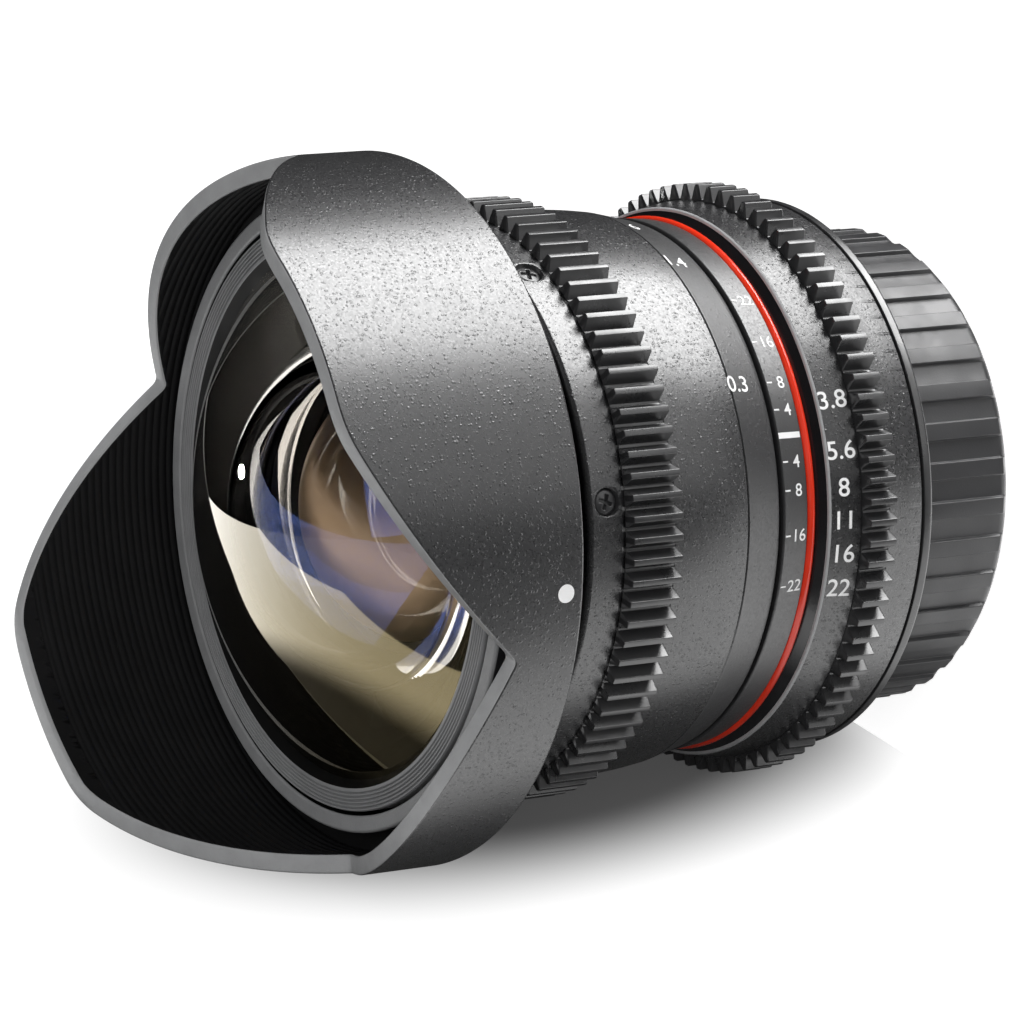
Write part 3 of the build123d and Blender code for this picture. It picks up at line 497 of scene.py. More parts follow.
# %% Geared rings
GEAR_MODULE, TEETH = 0.8, 90
GEAR_PITCH_R, GEAR_TIP_R, GEAR_ROOT_R = 36.0, 36.8, 35.0
FOCUS_TEETH, APERTURE_TEETH = (53.5, 60.5), (22.4, 26.4)
BAND_LOW, BAND_TOP, BAND_BORE = 60.55, 65.4, 33.0
SCREW_Z = 63.0
SCREW_ANGLES = [pair * 120 + side for pair in range(3) for side in (-89.84, -38.41)]
SCREW_HOLE_R, SCREW_SEAT_R = 1.7, 33.75
PATCH_HALF = 1.95


def tooth_outline():
    """Angle and share of tooth height at the points of one tooth, from one gap's middle to the next."""
    slope = math.tan(math.radians(20))
    half = math.pi * GEAR_MODULE / 4
    tip = math.degrees((half - (GEAR_TIP_R - GEAR_PITCH_R) * slope) / GEAR_TIP_R)
    root = math.degrees((half + (GEAR_PITCH_R - GEAR_ROOT_R) * slope) / GEAR_ROOT_R)
    step = 360 / TEETH
    side = [(-root - 0.06, 0.0), (-root, 0.03), (-tip - 0.06, 0.95), (-tip + 0.06, 1.0)]
    points = [(-step / 2, 0.0)] + side + [(-a, s) for a, s in side[::-1]]
    return np.array(points)


def toothed_ring(name, stations, first_tooth, body, **facts):
    """Stations are (radius, height, share of tooth); the radius grows by share times the tooth's height."""
    one = tooth_outline()
    angle = (np.arange(TEETH)[:, None] * 360 / TEETH + one[:, 0] + first_tooth).ravel()
    a = np.radians(angle)[None, :]
    tooth = np.tile(one[:, 1], TEETH)[None, :]
    r, z, share = (np.array(v, float)[:, None] for v in zip(*stations))
    radius = r + tooth * share * (GEAR_TIP_R - GEAR_ROOT_R)
    points = np.stack([radius * np.cos(a), radius * np.sin(a), z + 0 * a], -1)
    return mesh_piece(name, points, grid_faces(len(stations), a.size), body, **facts)


def gear_stations(low, high, root=GEAR_ROOT_R, edge=0.12):
    """The toothed stretch between two heights, with a bevel at each end of the teeth."""
    ends = [(low, 0), (low, 0.93), (low + edge, 1), (high - edge, 1), (high, 0.93), (high, 0)]
    return [(root, height, share) for height, share in ends]


focus_gear_piece = toothed_ring(
    "focus_gear_ring",
    [(BAND_BORE, FOCUS_TEETH[0], 0)]
    + gear_stations(*FOCUS_TEETH)
    + [(GEAR_ROOT_R, BAND_LOW, 0), (BAND_BORE, BAND_LOW, 0)],
    -89.5,
    "focus",
    replaces=["focus_gear"],
    slot="gear_black",
    finish=gear_black,
)
aperture_gear_piece = toothed_ring(
    "aperture_gear_ring",
    [(32.9, 16.85, 0), (34.05, 16.85, 0), (34.3, 17.1, 0), (34.5, 19.5, 0), (35.0, 22.3, 0)]
    + gear_stations(*APERTURE_TEETH)
    + [(32.9, APERTURE_TEETH[1], 0)],
    -94.72,
    "aperture",
    replaces=["aperture_gear"],
    slot="gear_black",
)


def square_and_circle(sides):
    """Points round a unit square and the angle of each, so that spokes run from a circle to the square."""
    edge = np.linspace(-1, 1, sides + 1)[:-1]
    one = np.ones(sides)
    u = np.concatenate([edge, one, -edge, -one])
    v = np.concatenate([-one, edge, one, -edge])
    return u, v, np.arctan2(v, u)


def drilled_band(sides=16, plain=22):
    """The front band: square patches with a round sunk hole, plain strips between, then the rims and bore.

    A patch point is (1 - s) circle + s square in the plane (u round the band, v along it), wrapped by
    angle = first + u / radius.
    """
    half = PATCH_HALF
    u, v, t = square_and_circle(sides)
    rings = [(0.02, SCREW_SEAT_R, 0), (SCREW_HOLE_R, SCREW_SEAT_R, 0)]
    rings += [(SCREW_HOLE_R, GEAR_ROOT_R - 0.06, 0)]
    rings += [(SCREW_HOLE_R + 0.05, GEAR_ROOT_R, s) for s in (0, 0.5, 1.0)]
    points, faces, start = [], [], 0

    def keep(grid, wrap_columns, flip=False):
        nonlocal start
        rows, columns = grid.shape[:2]
        points.append(grid.reshape(-1, 3))
        quads = start + grid_faces(rows, columns, False, wrap_columns)
        faces.append(quads[:, ::-1] if flip else quads)
        start += rows * columns

    def wrap(first, across, along, radius):
        a = first + across / GEAR_ROOT_R
        return np.stack([radius * np.cos(a), radius * np.sin(a), along + 0 * a], -1)

    patch_turn = half / GEAR_ROOT_R
    columns = []
    for here, after in zip(SCREW_ANGLES, SCREW_ANGLES[1:] + [SCREW_ANGLES[0] + 360]):
        first = math.radians(here)
        patch = []
        for r, radius, s in rings:
            across = (1 - s) * r * np.cos(t) + s * half * u
            along = SCREW_Z + (1 - s) * r * np.sin(t) + s * half * v
            patch.append(wrap(first, across, along, radius))
        keep(np.array(patch), True, flip=True)
        inside = first + np.linspace(-patch_turn, patch_turn, sides + 1)
        between = np.linspace(first + patch_turn, math.radians(after) - patch_turn, plain + 1)
        level = SCREW_Z + half * np.linspace(-1, 1, sides + 1)[:, None]
        x, y = GEAR_ROOT_R * np.cos(between), GEAR_ROOT_R * np.sin(between)
        keep(np.stack([x + 0 * level, y + 0 * level, level + 0 * between], -1), False)
        columns.append(np.concatenate([inside[:-1], between[:-1]]))
    a = np.concatenate(columns)[None, :]
    below = [(GEAR_ROOT_R, BAND_LOW), (GEAR_ROOT_R, SCREW_Z - half)]
    above = [(GEAR_ROOT_R, SCREW_Z + half), (GEAR_ROOT_R, 65.02), (34.9, 65.3), (34.6, BAND_TOP)]
    above += [(BAND_BORE, BAND_TOP), (BAND_BORE, BAND_LOW), (GEAR_ROOT_R, BAND_LOW)]
    for rows in (below, above):
        r, z = (np.array(value)[:, None] for value in zip(*rows))
        keep(np.stack([r * np.cos(a), r * np.sin(a), z + 0 * a], -1), True)
    return np.concatenate(points), np.concatenate(faces)


def paint_by_height(piece, materials, pick):
    """Each face takes the material whose number pick gives for its centre's radius and height in mm."""
    for material in materials:
        piece.data.materials.append(material)
    centres = np.zeros(len(piece.data.polygons) * 3)
    piece.data.polygons.foreach_get("center", centres)
    centres = centres.reshape(-1, 3) / MM
    number = pick(np.hypot(centres[:, 0], centres[:, 1]), centres[:, 2])
    piece.data.polygons.foreach_set("material_index", number.astype(np.int32))


band_points, band_faces = drilled_band()
front_band = mesh_piece("focus_front_band", band_points, band_faces, "focus", merge=0.002)
paint_by_height(front_band, [body_paint, gear_black], lambda r, z: r < 34.5)
paint_by_height(aperture_gear_piece, [gear_black, body_paint], lambda r, z: (z < 22.35) & (r > 33.5))
print("gear faces:", len(focus_gear_piece.data.polygons), len(aperture_gear_piece.data.polygons))

# %% [markdown]
# ## Barrel rings
# The rings between the gears are plain turned parts. Their profiles carry the small steps and lips that
# catch light: the lip of the aperture ring, painted light grey as a painted highlight, the dark cone behind
# it, and the red bead.

# %% Barrel rings
TUBE_R, RING_BORE = 31.2, 31.25
RED_LOW, INDEX_LOW, INDEX_TOP = 31.8, 32.9, 36.6

# A corner is (radius, height, softness); without a softness it takes the piece's own.
focus_barrel = turned(
    "focus_barrel",
    [(RING_BORE, 37.1), (32.95, 37.1, 0.2), (33.15, 37.6, 0.2), (34.26, 42.35, 0.05)]
    + [(34.08, 42.5, 0.03), (34.3, 42.65, 0.05), (34.6, 45.0, 1.0), (34.9, 49.0, 2.0)]
    + [(GEAR_ROOT_R, FOCUS_TEETH[0]), (BAND_BORE, FOCUS_TEETH[0]), (BAND_BORE, 65.2), (RING_BORE, 65.2)],
    "focus",
    soft=0.1,
    segments=480,
    replaces=["focus_ring"],
    slot="crinkle_black",
)
paint_by_height(focus_barrel, [body_paint, band_paint], lambda r, z: z < 42.4)
aperture_barrel = turned(
    "aperture_barrel",
    [(RING_BORE, 16.85), (32.85, 16.85), (32.85, APERTURE_TEETH[1]), (34.8, APERTURE_TEETH[1])]
    + [(34.1, 30.35, 0.1), (33.95, 30.6, 0.12), (33.7, 30.6, 0.1), (32.5, 31.55, 0.1)]
    + [(RING_BORE, 31.55)],
    "aperture",
    soft=0.08,
    segments=480,
    replaces=["aperture_ring"],
    slot="crinkle_black",
)
# The lip from 30.3 to 30.62 mm takes the light grey rim paint: a painted highlight.
paint_by_height(
    aperture_barrel,
    [body_paint, cone_black, rim_painted_light],
    lambda r, z: np.where(z > 30.62, 1, np.where(z > 30.3, 2, 0)),
)
turned(
    "index_band",
    [(TUBE_R, INDEX_LOW), (32.8, INDEX_LOW, 0.1), (33.15, 36.45, 0.15), (32.95, INDEX_TOP, 0.1)]
    + [(TUBE_R, INDEX_TOP)],
    "barrel",
    soft=0.06,
    replaces=["index_ring"],
    slot="crinkle_black",
    finish=band_paint,
)
turned(
    "red_bead",
    [(TUBE_R, RED_LOW), (32.9, RED_LOW, 0.3), (33.25, 32.35, 0.3), (32.9, INDEX_LOW, 0.3)]
    + [(TUBE_R, INDEX_LOW)],
    "barrel",
    soft=0.3,
    replaces=["red_ring"],
    slot="red_accent",
    finish=red_gloss,
)
turned(
    "tail_band",
    [(16.0, 15.3), (34.05, 15.3, 0.3), (34.4, 15.65, 0.2), (34.4, 16.7, 0.1), (29.4, 16.7)]
    + [(29.4, 19.6), (27.4, 19.6), (27.4, 18.6), (16.0, 18.6)],
    "barrel",
    replaces=["rear_barrel"],
    slot="crinkle_black",
    finish=gear_black,
)
front_flare = turned(
    "front_flare",
    [(TUBE_R, 65.7), (33.2, 65.7), (33.2, 66.8, 0.8), (38.4, 69.4, 0.4), (38.4, 79.55, 0.2)]
    + [(38.1, 79.8, 0.15), (36.5, 79.8, 0.15), (36.3, 79.6, 0.1), (36.3, 70.4), (TUBE_R, 70.4)],
    "barrel",
    replaces=["front_barrel"],
    slot="bezel_grey",
)
# Its front face takes the mid grey flare paint, a painted light.
paint_by_height(
    front_flare,
    [gear_black, flare_painted_light, inner_black],
    lambda r, z: np.where(z > 79.4, 1, np.where((z > 70.3) & (r < 36.6), 2, 0)),
)
print("focus barrel faces:", len(focus_barrel.data.polygons))

# %% [markdown]
# ## Front group
# A black carrier holds the glass, and a retaining ring with fine grooves clamps it. The photograph shows
# each coated surface mirror the studio in its own colour, so four of the glass surfaces get a thin coat: a
# partial mirror a hair off the glass. The front coat is amber, the hollow behind it blue, the next rose.

# %% Front group


def sphere_profile(curve, vertex, radius, steps, bulge):
    """Points of a sphere's cap from the axis out: z = vertex -+ (R - sqrt(R^2 - r^2))."""
    r = np.linspace(0.0, radius, steps)
    return np.stack([r, vertex - bulge * (curve - np.sqrt(curve**2 - r**2))], -1)


def lens_piece(name, front, rear, edge, replaces, glass=clear_glass, segments=256, steps=64):
    """A glass between two surfaces (curve, vertex, radius, bulge) and an edge (radius, top, low).

    The section runs out along the rear surface, slopes up to the edge's top, goes down the edge and back,
    and comes in along the front surface. The edge is blackened.
    """
    front_curve, front_vertex, front_radius, front_bulge = front
    rear_curve, rear_vertex, rear_radius, rear_bulge = rear
    edge_radius, edge_top, edge_low = edge
    top = sphere_profile(front_curve, front_vertex, front_radius, steps, front_bulge)
    low = sphere_profile(rear_curve, rear_vertex, rear_radius, steps, rear_bulge)
    side = [(edge_radius, edge_top), (edge_radius, edge_low)]
    profile = np.concatenate([low, side, top[::-1]])
    profile = profile[np.append(True, np.linalg.norm(np.diff(profile, axis=0), axis=1) > 1e-6)]
    faces = grid_faces(len(profile), segments, wrap_rows=False)
    points = round_axis(profile, segments)
    piece = mesh_piece(
        name, points, faces, "front_group", replaces=replaces, slot="optical_glass", merge=0.001
    )

    def blackened(r, z):
        return (r > edge_radius - 0.02) | ((r > rear_radius + 0.01) & (np.abs(z - edge_low) < 0.05))

    paint_by_height(piece, [glass, edge_black], blackened)
    return piece


def coat_piece(name, surface, margin, material, lift, segments=256, steps=64):
    """A cap that lies a lift off a glass surface and stops a margin short of its edge."""
    curve, vertex, radius, bulge = surface
    points = round_axis(sphere_profile(curve, vertex + lift, radius - margin, steps, bulge), segments)
    faces = grid_faces(steps, segments, wrap_rows=False)
    mesh_piece(name, points, faces, "front_group", merge=0.001, weighted=False, finish=material)


# A surface is (radius of its sphere, height on the axis, radius at its edge, 1 for a dome or -1 for a dish).
DOME, BOWL = (46.0, 91.8, 32.4, 1), (20.46, 87.0, 19.66, 1)
SECOND_FRONT, SECOND_REAR = (19.06, 79.5, 17.55, 1), (11.5, 73.3, 11.44, 1)
THIRD_FRONT, THIRD_REAR = (38.0, 59.8, 9.47, -1), (15.0, 57.6, 7.82, 1)
COAT_LIFT = 0.01
lens_piece("front_glass", DOME, BOWL, (DOME[2], 78.45, 72.2), ["front_element"], warm_glass)
coat_piece("front_coat", DOME, 0.1, amber_coat, COAT_LIFT)
coat_piece("bowl_coat", BOWL, 0.16, blue_coat, -COAT_LIFT)
lens_piece("second_glass", SECOND_FRONT, SECOND_REAR, (SECOND_FRONT[2], 67.87, 63.0), ["second_element"])
coat_piece("second_coat", SECOND_FRONT, 0.15, rose_coat, COAT_LIFT)
lens_piece("third_glass", THIRD_FRONT, THIRD_REAR, (10.5, 61.0, 55.4), ["third_element"])
coat_piece("third_coat", THIRD_FRONT, 0.17, green_coat, COAT_LIFT)

BEZEL_TOP, GROOVE_FLOOR = 79.9, 79.6
GROOVE_COUNT, GROOVE_PITCH = 5, 0.45
groove = [(33.4, BEZEL_TOP, 0.04), (33.5, GROOVE_FLOOR, 0.03)]
groove += [(33.6, GROOVE_FLOOR, 0.03), (33.68, BEZEL_TOP, 0.04)]
grooves = [(r + GROOVE_PITCH * k, z, soft) for k in range(GROOVE_COUNT) for r, z, soft in groove]
bezel = turned(
    "glass_bezel",
    [(32.0, 78.7, 0.02), (32.0, 78.85, 0.04), (33.0, BEZEL_TOP, 0.05)]
    + grooves
    + [(35.65, BEZEL_TOP, 0.1), (35.8, GROOVE_FLOOR, 0.1), (35.8, 74.5), (35.3, 74.5)]
    + [(35.3, 78.55), (32.5, 78.55)],
    "front_group",
    soft=0.05,
    segments=480,
    replaces=["front_bezel"],
    slot="bezel_grey",
)
# The grooved ring takes the mid grey bezel finish, a painted light; the bore stays black.
paint_by_height(bezel, [bezel_painted_light, inner_black], lambda r, z: (r < 32.9))
turned(
    "glass_carrier",
    [(26.8, 52.0), (29.35, 52.0), (29.35, 70.9), (35.3, 70.9), (35.3, 78.5), (32.45, 78.5)]
    + [(32.45, 72.2), (19.9, 72.2), (18.6, 70.2), (18.6, 68.4), (17.6, 68.4), (17.6, 63.0)]
    + [(9.8, 63.0), (9.8, 61.0), (26.8, 61.0)],
    "front_group",
    soft=0.1,
    replaces=["front_cell"],
    slot="inner_black",
    finish=inner_black,
)
print("bezel grooves:", GROOVE_COUNT)

# %% [markdown]
# ## Rear cap
# The cap's grip is 38 raised lands and 38 low ones. The same trick as on the gears serves: a radius that
# depends on the angle, carried along the axis and drawn in at the ends.

# %% Rear cap
CAP_LANDS, LAND_HEIGHT, FIRST_LAND_DEG = 38, 0.6, -93.4
CAP_R, CAP_INSIDE_R, CAP_FLOOR_Z = 28.3, 25.4, 2.2


def cap_surface():
    """Radius = land radius + share of a land's height, where the share is a soft square wave of the angle."""
    step = 360 / CAP_LANDS
    marks = np.array([0.0, 0.015, 0.035, 0.06, 0.44, 0.465, 0.485, 0.5, 0.75])
    share = np.array([0.0, 0.15, 0.85, 1.0, 1.0, 0.85, 0.15, 0.0, 0.0])
    a = np.radians((np.arange(CAP_LANDS)[:, None] * step + marks * step + FIRST_LAND_DEG).ravel())[None, :]
    high = np.tile(share, CAP_LANDS)[None, :]
    foot = [(24.2, 0.5, 0), (24.0, 0.4, 0), (24.2, 0.0, 0), (CAP_R, 0.0, 0), (28.8, 0.15, 0)]
    grip = [(29.1, 0.7, 0.3), (29.2, 1.3, 1), (29.2, 12.2, 1), (29.15, 12.8, 0.6), (28.9, 13.3, 0)]
    mouth = [(28.6, 13.4, 0), (CAP_INSIDE_R, 13.4, 0), (CAP_INSIDE_R, CAP_FLOOR_Z, 0)]
    middle = [(10.0, CAP_FLOOR_Z, 0), (10.0, 2.1, 0), (10.0, 0.5, 0)]
    stations = np.array(foot + grip + mouth + middle)
    r, z, part = (stations[:, k][:, None] for k in range(3))
    radius = r + high * part * LAND_HEIGHT
    points = np.stack([radius * np.cos(a), radius * np.sin(a), z + 0 * a], -1)
    return points, grid_faces(len(stations), a.size)


cap_points, cap_faces = cap_surface()
cap_piece = mesh_piece(
    "rear_cap_cup", cap_points, cap_faces, "cap_body", slot="cap_black", finish=cap_plastic
)
turned(
    "rear_cap_floor",
    [(0.001, 0.5, 0), (10.0, 0.5, 0), (10.0, CAP_FLOOR_Z, 0), (0.001, CAP_FLOOR_Z, 0)],
    "cap_body",
    soft=0.0,
    segments=96,
    slot="cap_black",
    finish=cap_plastic,
)
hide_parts("rear_cap")
print("cap lands:", CAP_LANDS)

# %% [markdown]
# ## Screws
# Pan heads sit in pairs in holes of the focus ring's front band. Each head is a low dome with a cross
# pressed in: its height is the dome's less a depth where either arm of the cross is near.

# %% Screws
HEAD_R, HEAD_TOP, HEAD_SEAT = 1.5, 34.72, 33.7
CROSS_TURN, CROSS_DEPTH = 0.35, 0.5


def screw_heads():
    """A polar grid per head: height = dome - cross depth, where an arm is near if |u| and |v| are small."""
    rings, spokes = 22, 64
    rho = np.concatenate([np.linspace(0, HEAD_R, rings), [HEAD_R]])[:, None]
    t = np.linspace(0, 2 * np.pi, spokes, endpoint=False)[None, :]
    p, q = rho * np.cos(t + CROSS_TURN), rho * np.sin(t + CROSS_TURN)
    dome = HEAD_TOP - 0.16 * (rho / HEAD_R) ** 2 - 0.12 * np.clip((rho - 1.3) / 0.2, 0, 1) ** 2

    def arm(u, v):
        return np.clip((0.24 - np.abs(u)) / 0.06, 0, 1) * np.clip((0.95 - np.abs(v)) / 0.1, 0, 1)

    height = dome - CROSS_DEPTH * np.maximum(arm(p, q), arm(q, p))
    height[-1] = HEAD_SEAT
    u, v = rho * np.cos(t), rho * np.sin(t)
    points, faces = [], []
    face = grid_faces(rings + 1, spokes, wrap_rows=False)
    for a in np.radians(SCREW_ANGLES):
        radial = np.array([math.cos(a), math.sin(a), 0])
        round_it = np.array([-math.sin(a), math.cos(a), 0])
        along = (SCREW_Z + v)[..., None] * np.array([0, 0, 1])
        spot = height[..., None] * radial + u[..., None] * round_it + along
        faces.append(face + len(points) * height.size)
        points.append(spot.reshape(-1, 3))
    return np.concatenate(points), np.concatenate(faces)


screw_points, screw_faces = screw_heads()
mesh_piece(
    "band_screw_heads",
    screw_points,
    screw_faces,
    "focus",
    merge=0.001,
    slot="screw_steel",
    replaces=["band_screws"],
    finish=screw_black,
)
print("band screws:", len(SCREW_ANGLES))

# %% [markdown]
# ## Marks and numbers
# The white marks are thin printed shapes wrapped on the rings: the mounting dot on the hood, the index
# line, the aperture and distance numbers. The index ring gets a plain depth scale with ticks.

# %% Marks and numbers


def number_mesh(text, size_mm):
    """The outline of plain digits as points (x, y) in mm and faces, centred on the middle of the text."""
    curve = bpy.data.curves.new("digits", "FONT")
    curve.body = text
    curve.size = size_mm / 0.7
    curve.align_x = "CENTER"
    curve.offset = 0.012 * size_mm
    holder = new_object("digits", curve)
    mesh = bpy.data.meshes.new_from_object(holder.evaluated_get(bpy.context.evaluated_depsgraph_get()))
    flat = np.array([v.co[:2] for v in mesh.vertices])
    faces = [list(p.vertices) for p in mesh.polygons]
    bpy.data.objects.remove(holder)
    bpy.data.meshes.remove(mesh)
    flat[:, 1] -= (flat[:, 1].max() + flat[:, 1].min()) / 2
    return flat, faces


def printed(name, shapes, body):
    """One piece of many flat printed shapes, each given as points on the ring and faces."""
    points, faces, start = [], [], 0
    for spots, shape_faces in shapes:
        points.append(spots)
        faces += [[start + v for v in face] for face in shape_faces]
        start += len(spots)
    mesh = bpy.data.meshes.new(name)
    mesh.from_pydata((np.concatenate(points) * MM).tolist(), [], faces)
    mesh.materials.append(white_mark)
    piece = new_object(name, mesh)
    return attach(piece, body)


def number_on(text, radius, phi, z, size):
    """Digits on a ring at the photograph's angle phi (0 up, 90 near); they read towards the rear."""
    flat, faces = number_mesh(text, size)
    return on_ring(radius, -phi, z, flat[:, 0], flat[:, 1], 0.02), faces


def bar_on(radius, phi, z, length, width, lift=0.02, rows=7):
    """A rectangle on a ring, length along the axis and width round it."""
    ends, across = np.linspace(-length / 2, length / 2, 2), np.linspace(-width / 2, width / 2, rows)
    x, y = np.meshgrid(ends, across, indexing="ij")
    return on_ring(radius, -phi, z, x.ravel(), y.ravel(), lift), grid_faces(2, rows, False, False).tolist()


def dot_on(radius, phi, z, across):
    """A round dot as a polar grid on the ring."""
    around = np.linspace(0, 2 * np.pi, 48, endpoint=False)
    rho, t = np.meshgrid(np.linspace(0.02, across / 2, 5), around, indexing="ij")
    spots = on_ring(radius, -phi, z, (rho * np.cos(t)).ravel(), (rho * np.sin(t)).ravel(), 0.03)
    return spots, grid_faces(5, 48, False, True).tolist() + [list(range(48))]


# A row is the height of its digits' middle and their size.
APERTURE_ROW, DISTANCE_ROW, DEPTH_ROW = (28.6, 2.2), (41.1, 2.0), (34.2, 1.5)
APERTURE_SLOPE = ((APERTURE_TEETH[1], 34.8), (30.35, 34.1))
FOCUS_SLOPE = ((37.6, 33.15), (42.35, 34.26))
INDEX_SLOPE = ((INDEX_LOW, 32.8), (36.45, 33.15))
APERTURE_SCALE = {"3.8": 73.8, "5.6": 84.1, "8": 91.6, "11": 98.2, "16": 105.05, "22": 112.3}
DISTANCE_SCALE = {"0.3": 68.6, "1.4": 36.2, "6": 20.1}
DEPTH_SCALE = {"4": 5.5, "8": 11.5, "16": 21.0, "22": 32.0}
INDEX_PHI, DOT_PHI, DOT_Z, DOT_ACROSS = 79.9, 102.7, 74.2, 2.2
aperture_marks = [number_on(t, APERTURE_SLOPE, phi, *APERTURE_ROW) for t, phi in APERTURE_SCALE.items()]
distance_marks = [number_on(t, FOCUS_SLOPE, phi, *DISTANCE_ROW) for t, phi in DISTANCE_SCALE.items()]
printed("aperture_numbers", aperture_marks, "aperture")
printed("distance_numbers", distance_marks, "focus")
depth_marks = [bar_on(INDEX_SLOPE, INDEX_PHI, 34.75, 3.3, 0.73)]
for text, spread_deg in DEPTH_SCALE.items():
    for side in (-1, 1):
        phi = INDEX_PHI + side * spread_deg
        depth_marks.append(bar_on(INDEX_SLOPE, phi, 35.9, 0.8, 0.2))
        depth_marks.append(number_on(text, INDEX_SLOPE, phi, *DEPTH_ROW))
printed("index_marks", depth_marks, "barrel")
printed("hood_dot", [dot_on(HOOD_R, DOT_PHI, DOT_Z, DOT_ACROSS)], "hood_body")
print("marks:", len(aperture_marks), len(distance_marks), len(depth_marks))

# %% [markdown]
# ## Finishes for the carried-over pieces
# What stays from CAD sits inside: the iris, the cells, the mount. Each gets the finish its record names.

# %% Carried-over pieces
INNER_NODES = ["main_barrel", "rear_baffle", "inner_cell", "rear_cell", "rear_retainer", "second_retainer"]
INNER_NODES += ["doublet_spacer", "lens_spacer", "iris_housing", "iris_cover", "cam_plate", "aperture_link"]
GLASS_NODES = [f"{side}_doublet_{half}" for side in ("front", "rear") for half in ("crown", "flint")]
GLASS_NODES += ["rear_element"]
STEEL_NODES = ["mount_screws", "cell_screws"] + [f"iris_blade_{k}" for k in range(1, 7)]
for finish, nodes in (
    (inner_black, INNER_NODES),
    (clear_glass, GLASS_NODES),
    (blade_steel, STEEL_NODES),
    (mount_chrome, ["mount_flange"]),
    (pin_brass, ["follower_pins"]),
):
    for node in nodes:
        paint_node(node, finish)
print("carried over:", len(INNER_NODES) + len(GLASS_NODES) + len(STEEL_NODES) + 2)

# %% [markdown]
# ## Studio
# The lens was photographed lying on a pale table. Here it stands on its cap, so there are two pale
# surfaces: the floor, and a one-sided card that lies where the table was and carries a soft shadow, partly
# cast by the lamps on its dim matt ground and partly painted into its glow as an ellipse under the lens.

# %% Floor and card


def pale_surface(name, one_sided, tone, own_light, mirrored_light=1.6, fade=None, edges=()):
    """Pale matt surface: the camera, and rays through glass or off gloss, see it lifted to white.

    With a fade, a painted shadow: the lift grows from own_light under the lens to full white outside an
    ellipse, and what gloss sees holds a painted shadow too, dark out to a wider ellipse. Gloss sees nothing
    beyond an edge, given as (direction, distance in mm): there the sheet ends.
    """
    material = bpy.data.materials.new(name)
    material.use_nodes = True
    tree = material.node_tree
    tree.nodes.clear()
    output = add(tree, "ShaderNodeOutputMaterial")
    matt = add(tree, "ShaderNodeBsdfDiffuse", sockets={"Color": (tone, tone, tone, 1)})
    glow = add(tree, "ShaderNodeEmission", sockets={"Color": (1, 1, 1, 1)})
    path = add(tree, "ShaderNodeLightPath")
    seen = math_node(tree, "MAXIMUM", path.outputs["Is Camera Ray"], path.outputs["Is Transmission Ray"])
    lift, mirrored = own_light, mirrored_light
    if fade:
        (middle_y, middle_z), (half_y, half_z), (start, end) = fade
        scaled = add(tree, "ShaderNodeVectorMath", operation="MULTIPLY_ADD")
        tree.links.new(object_coordinates(tree), scaled.inputs[0])
        scaled.inputs[1].default_value = (0, 1 / (half_y * MM), 1 / (half_z * MM))
        scaled.inputs[2].default_value = (0, -middle_y / half_y, -middle_z / half_z)
        length = add(tree, "ShaderNodeVectorMath", operation="LENGTH")
        tree.links.new(scaled.outputs[0], length.inputs[0])
        lift = ramp(tree, length.outputs["Value"], start, end, own_light, 1.0)
        mirrored = ramp(tree, length.outputs["Value"], *MIRRORED_SHADOW, 0.02, mirrored_light)
    seen = math_node(tree, "MULTIPLY", seen, lift)
    for direction, distance in edges:
        along = add(tree, "ShaderNodeVectorMath", operation="DOT_PRODUCT")
        tree.links.new(object_coordinates(tree), along.inputs[0])
        along.inputs[1].default_value = tuple(direction)
        inside = ramp(tree, along.outputs["Value"], (distance - 2) * MM, (distance + 2) * MM, 1.0, 0.0)
        mirrored = math_node(tree, "MULTIPLY", inside, mirrored)
    mirrored = math_node(tree, "MULTIPLY", path.outputs["Is Glossy Ray"], mirrored)
    tree.links.new(math_node(tree, "MAXIMUM", seen, mirrored), glow.inputs["Strength"])
    both = add(tree, "ShaderNodeAddShader")
    tree.links.new(matt.outputs[0], both.inputs[0])
    tree.links.new(glow.outputs[0], both.inputs[1])
    last = both
    if one_sided:
        clear = add(tree, "ShaderNodeBsdfTransparent")
        last = add(tree, "ShaderNodeMixShader")
        tree.links.new(add(tree, "ShaderNodeNewGeometry").outputs["Backfacing"], last.inputs[0])
        tree.links.new(both.outputs[0], last.inputs[1])
        tree.links.new(clear.outputs[0], last.inputs[2])
    tree.links.new(last.outputs[0], output.inputs["Surface"])
    return material


def stage_plane(name, centre_mm, normal, across, wide, high, material):
    """A rectangle about a centre, square to the normal, its first side along across."""
    normal = np.array(normal, float) / np.linalg.norm(normal)
    across = np.array(across, float)
    across = across - normal * (across @ normal)
    across = across / np.linalg.norm(across)
    up = np.cross(normal, across)
    signs = ((-1, -1), (1, -1), (1, 1), (-1, 1))
    corners = [np.array(centre_mm) + s * across * wide / 2 + t * up * high / 2 for s, t in signs]
    mesh = bpy.data.meshes.new(name)
    mesh.from_pydata([tuple(c * MM) for c in corners], [], [(0, 1, 2, 3)])
    mesh.materials.append(material)
    plane = new_object(name, mesh)
    return plane


TABLE_NORMAL = np.array([0.935, -0.328, 0.1305])
TABLE_OFFSET = -33.54
TABLE_EDGE_Y = 152.0
FLOOR_SIZE, CARD_WIDE, CARD_HIGH = 6000, 3000, 4000
# Where the sheet ends in the dome's mirror image: ahead of the lens, and along a slanted cut.
SHEET_END, SHEET_CUT, CUT_SLANT = 216.0, 187.9, 1.34
# The painted soft shadow is an ellipse in (y, z): its middle, its half widths, and where it starts and ends.
SOFT_SHADOW = ((25, 38), (40, 62), (0.5, 1.1))
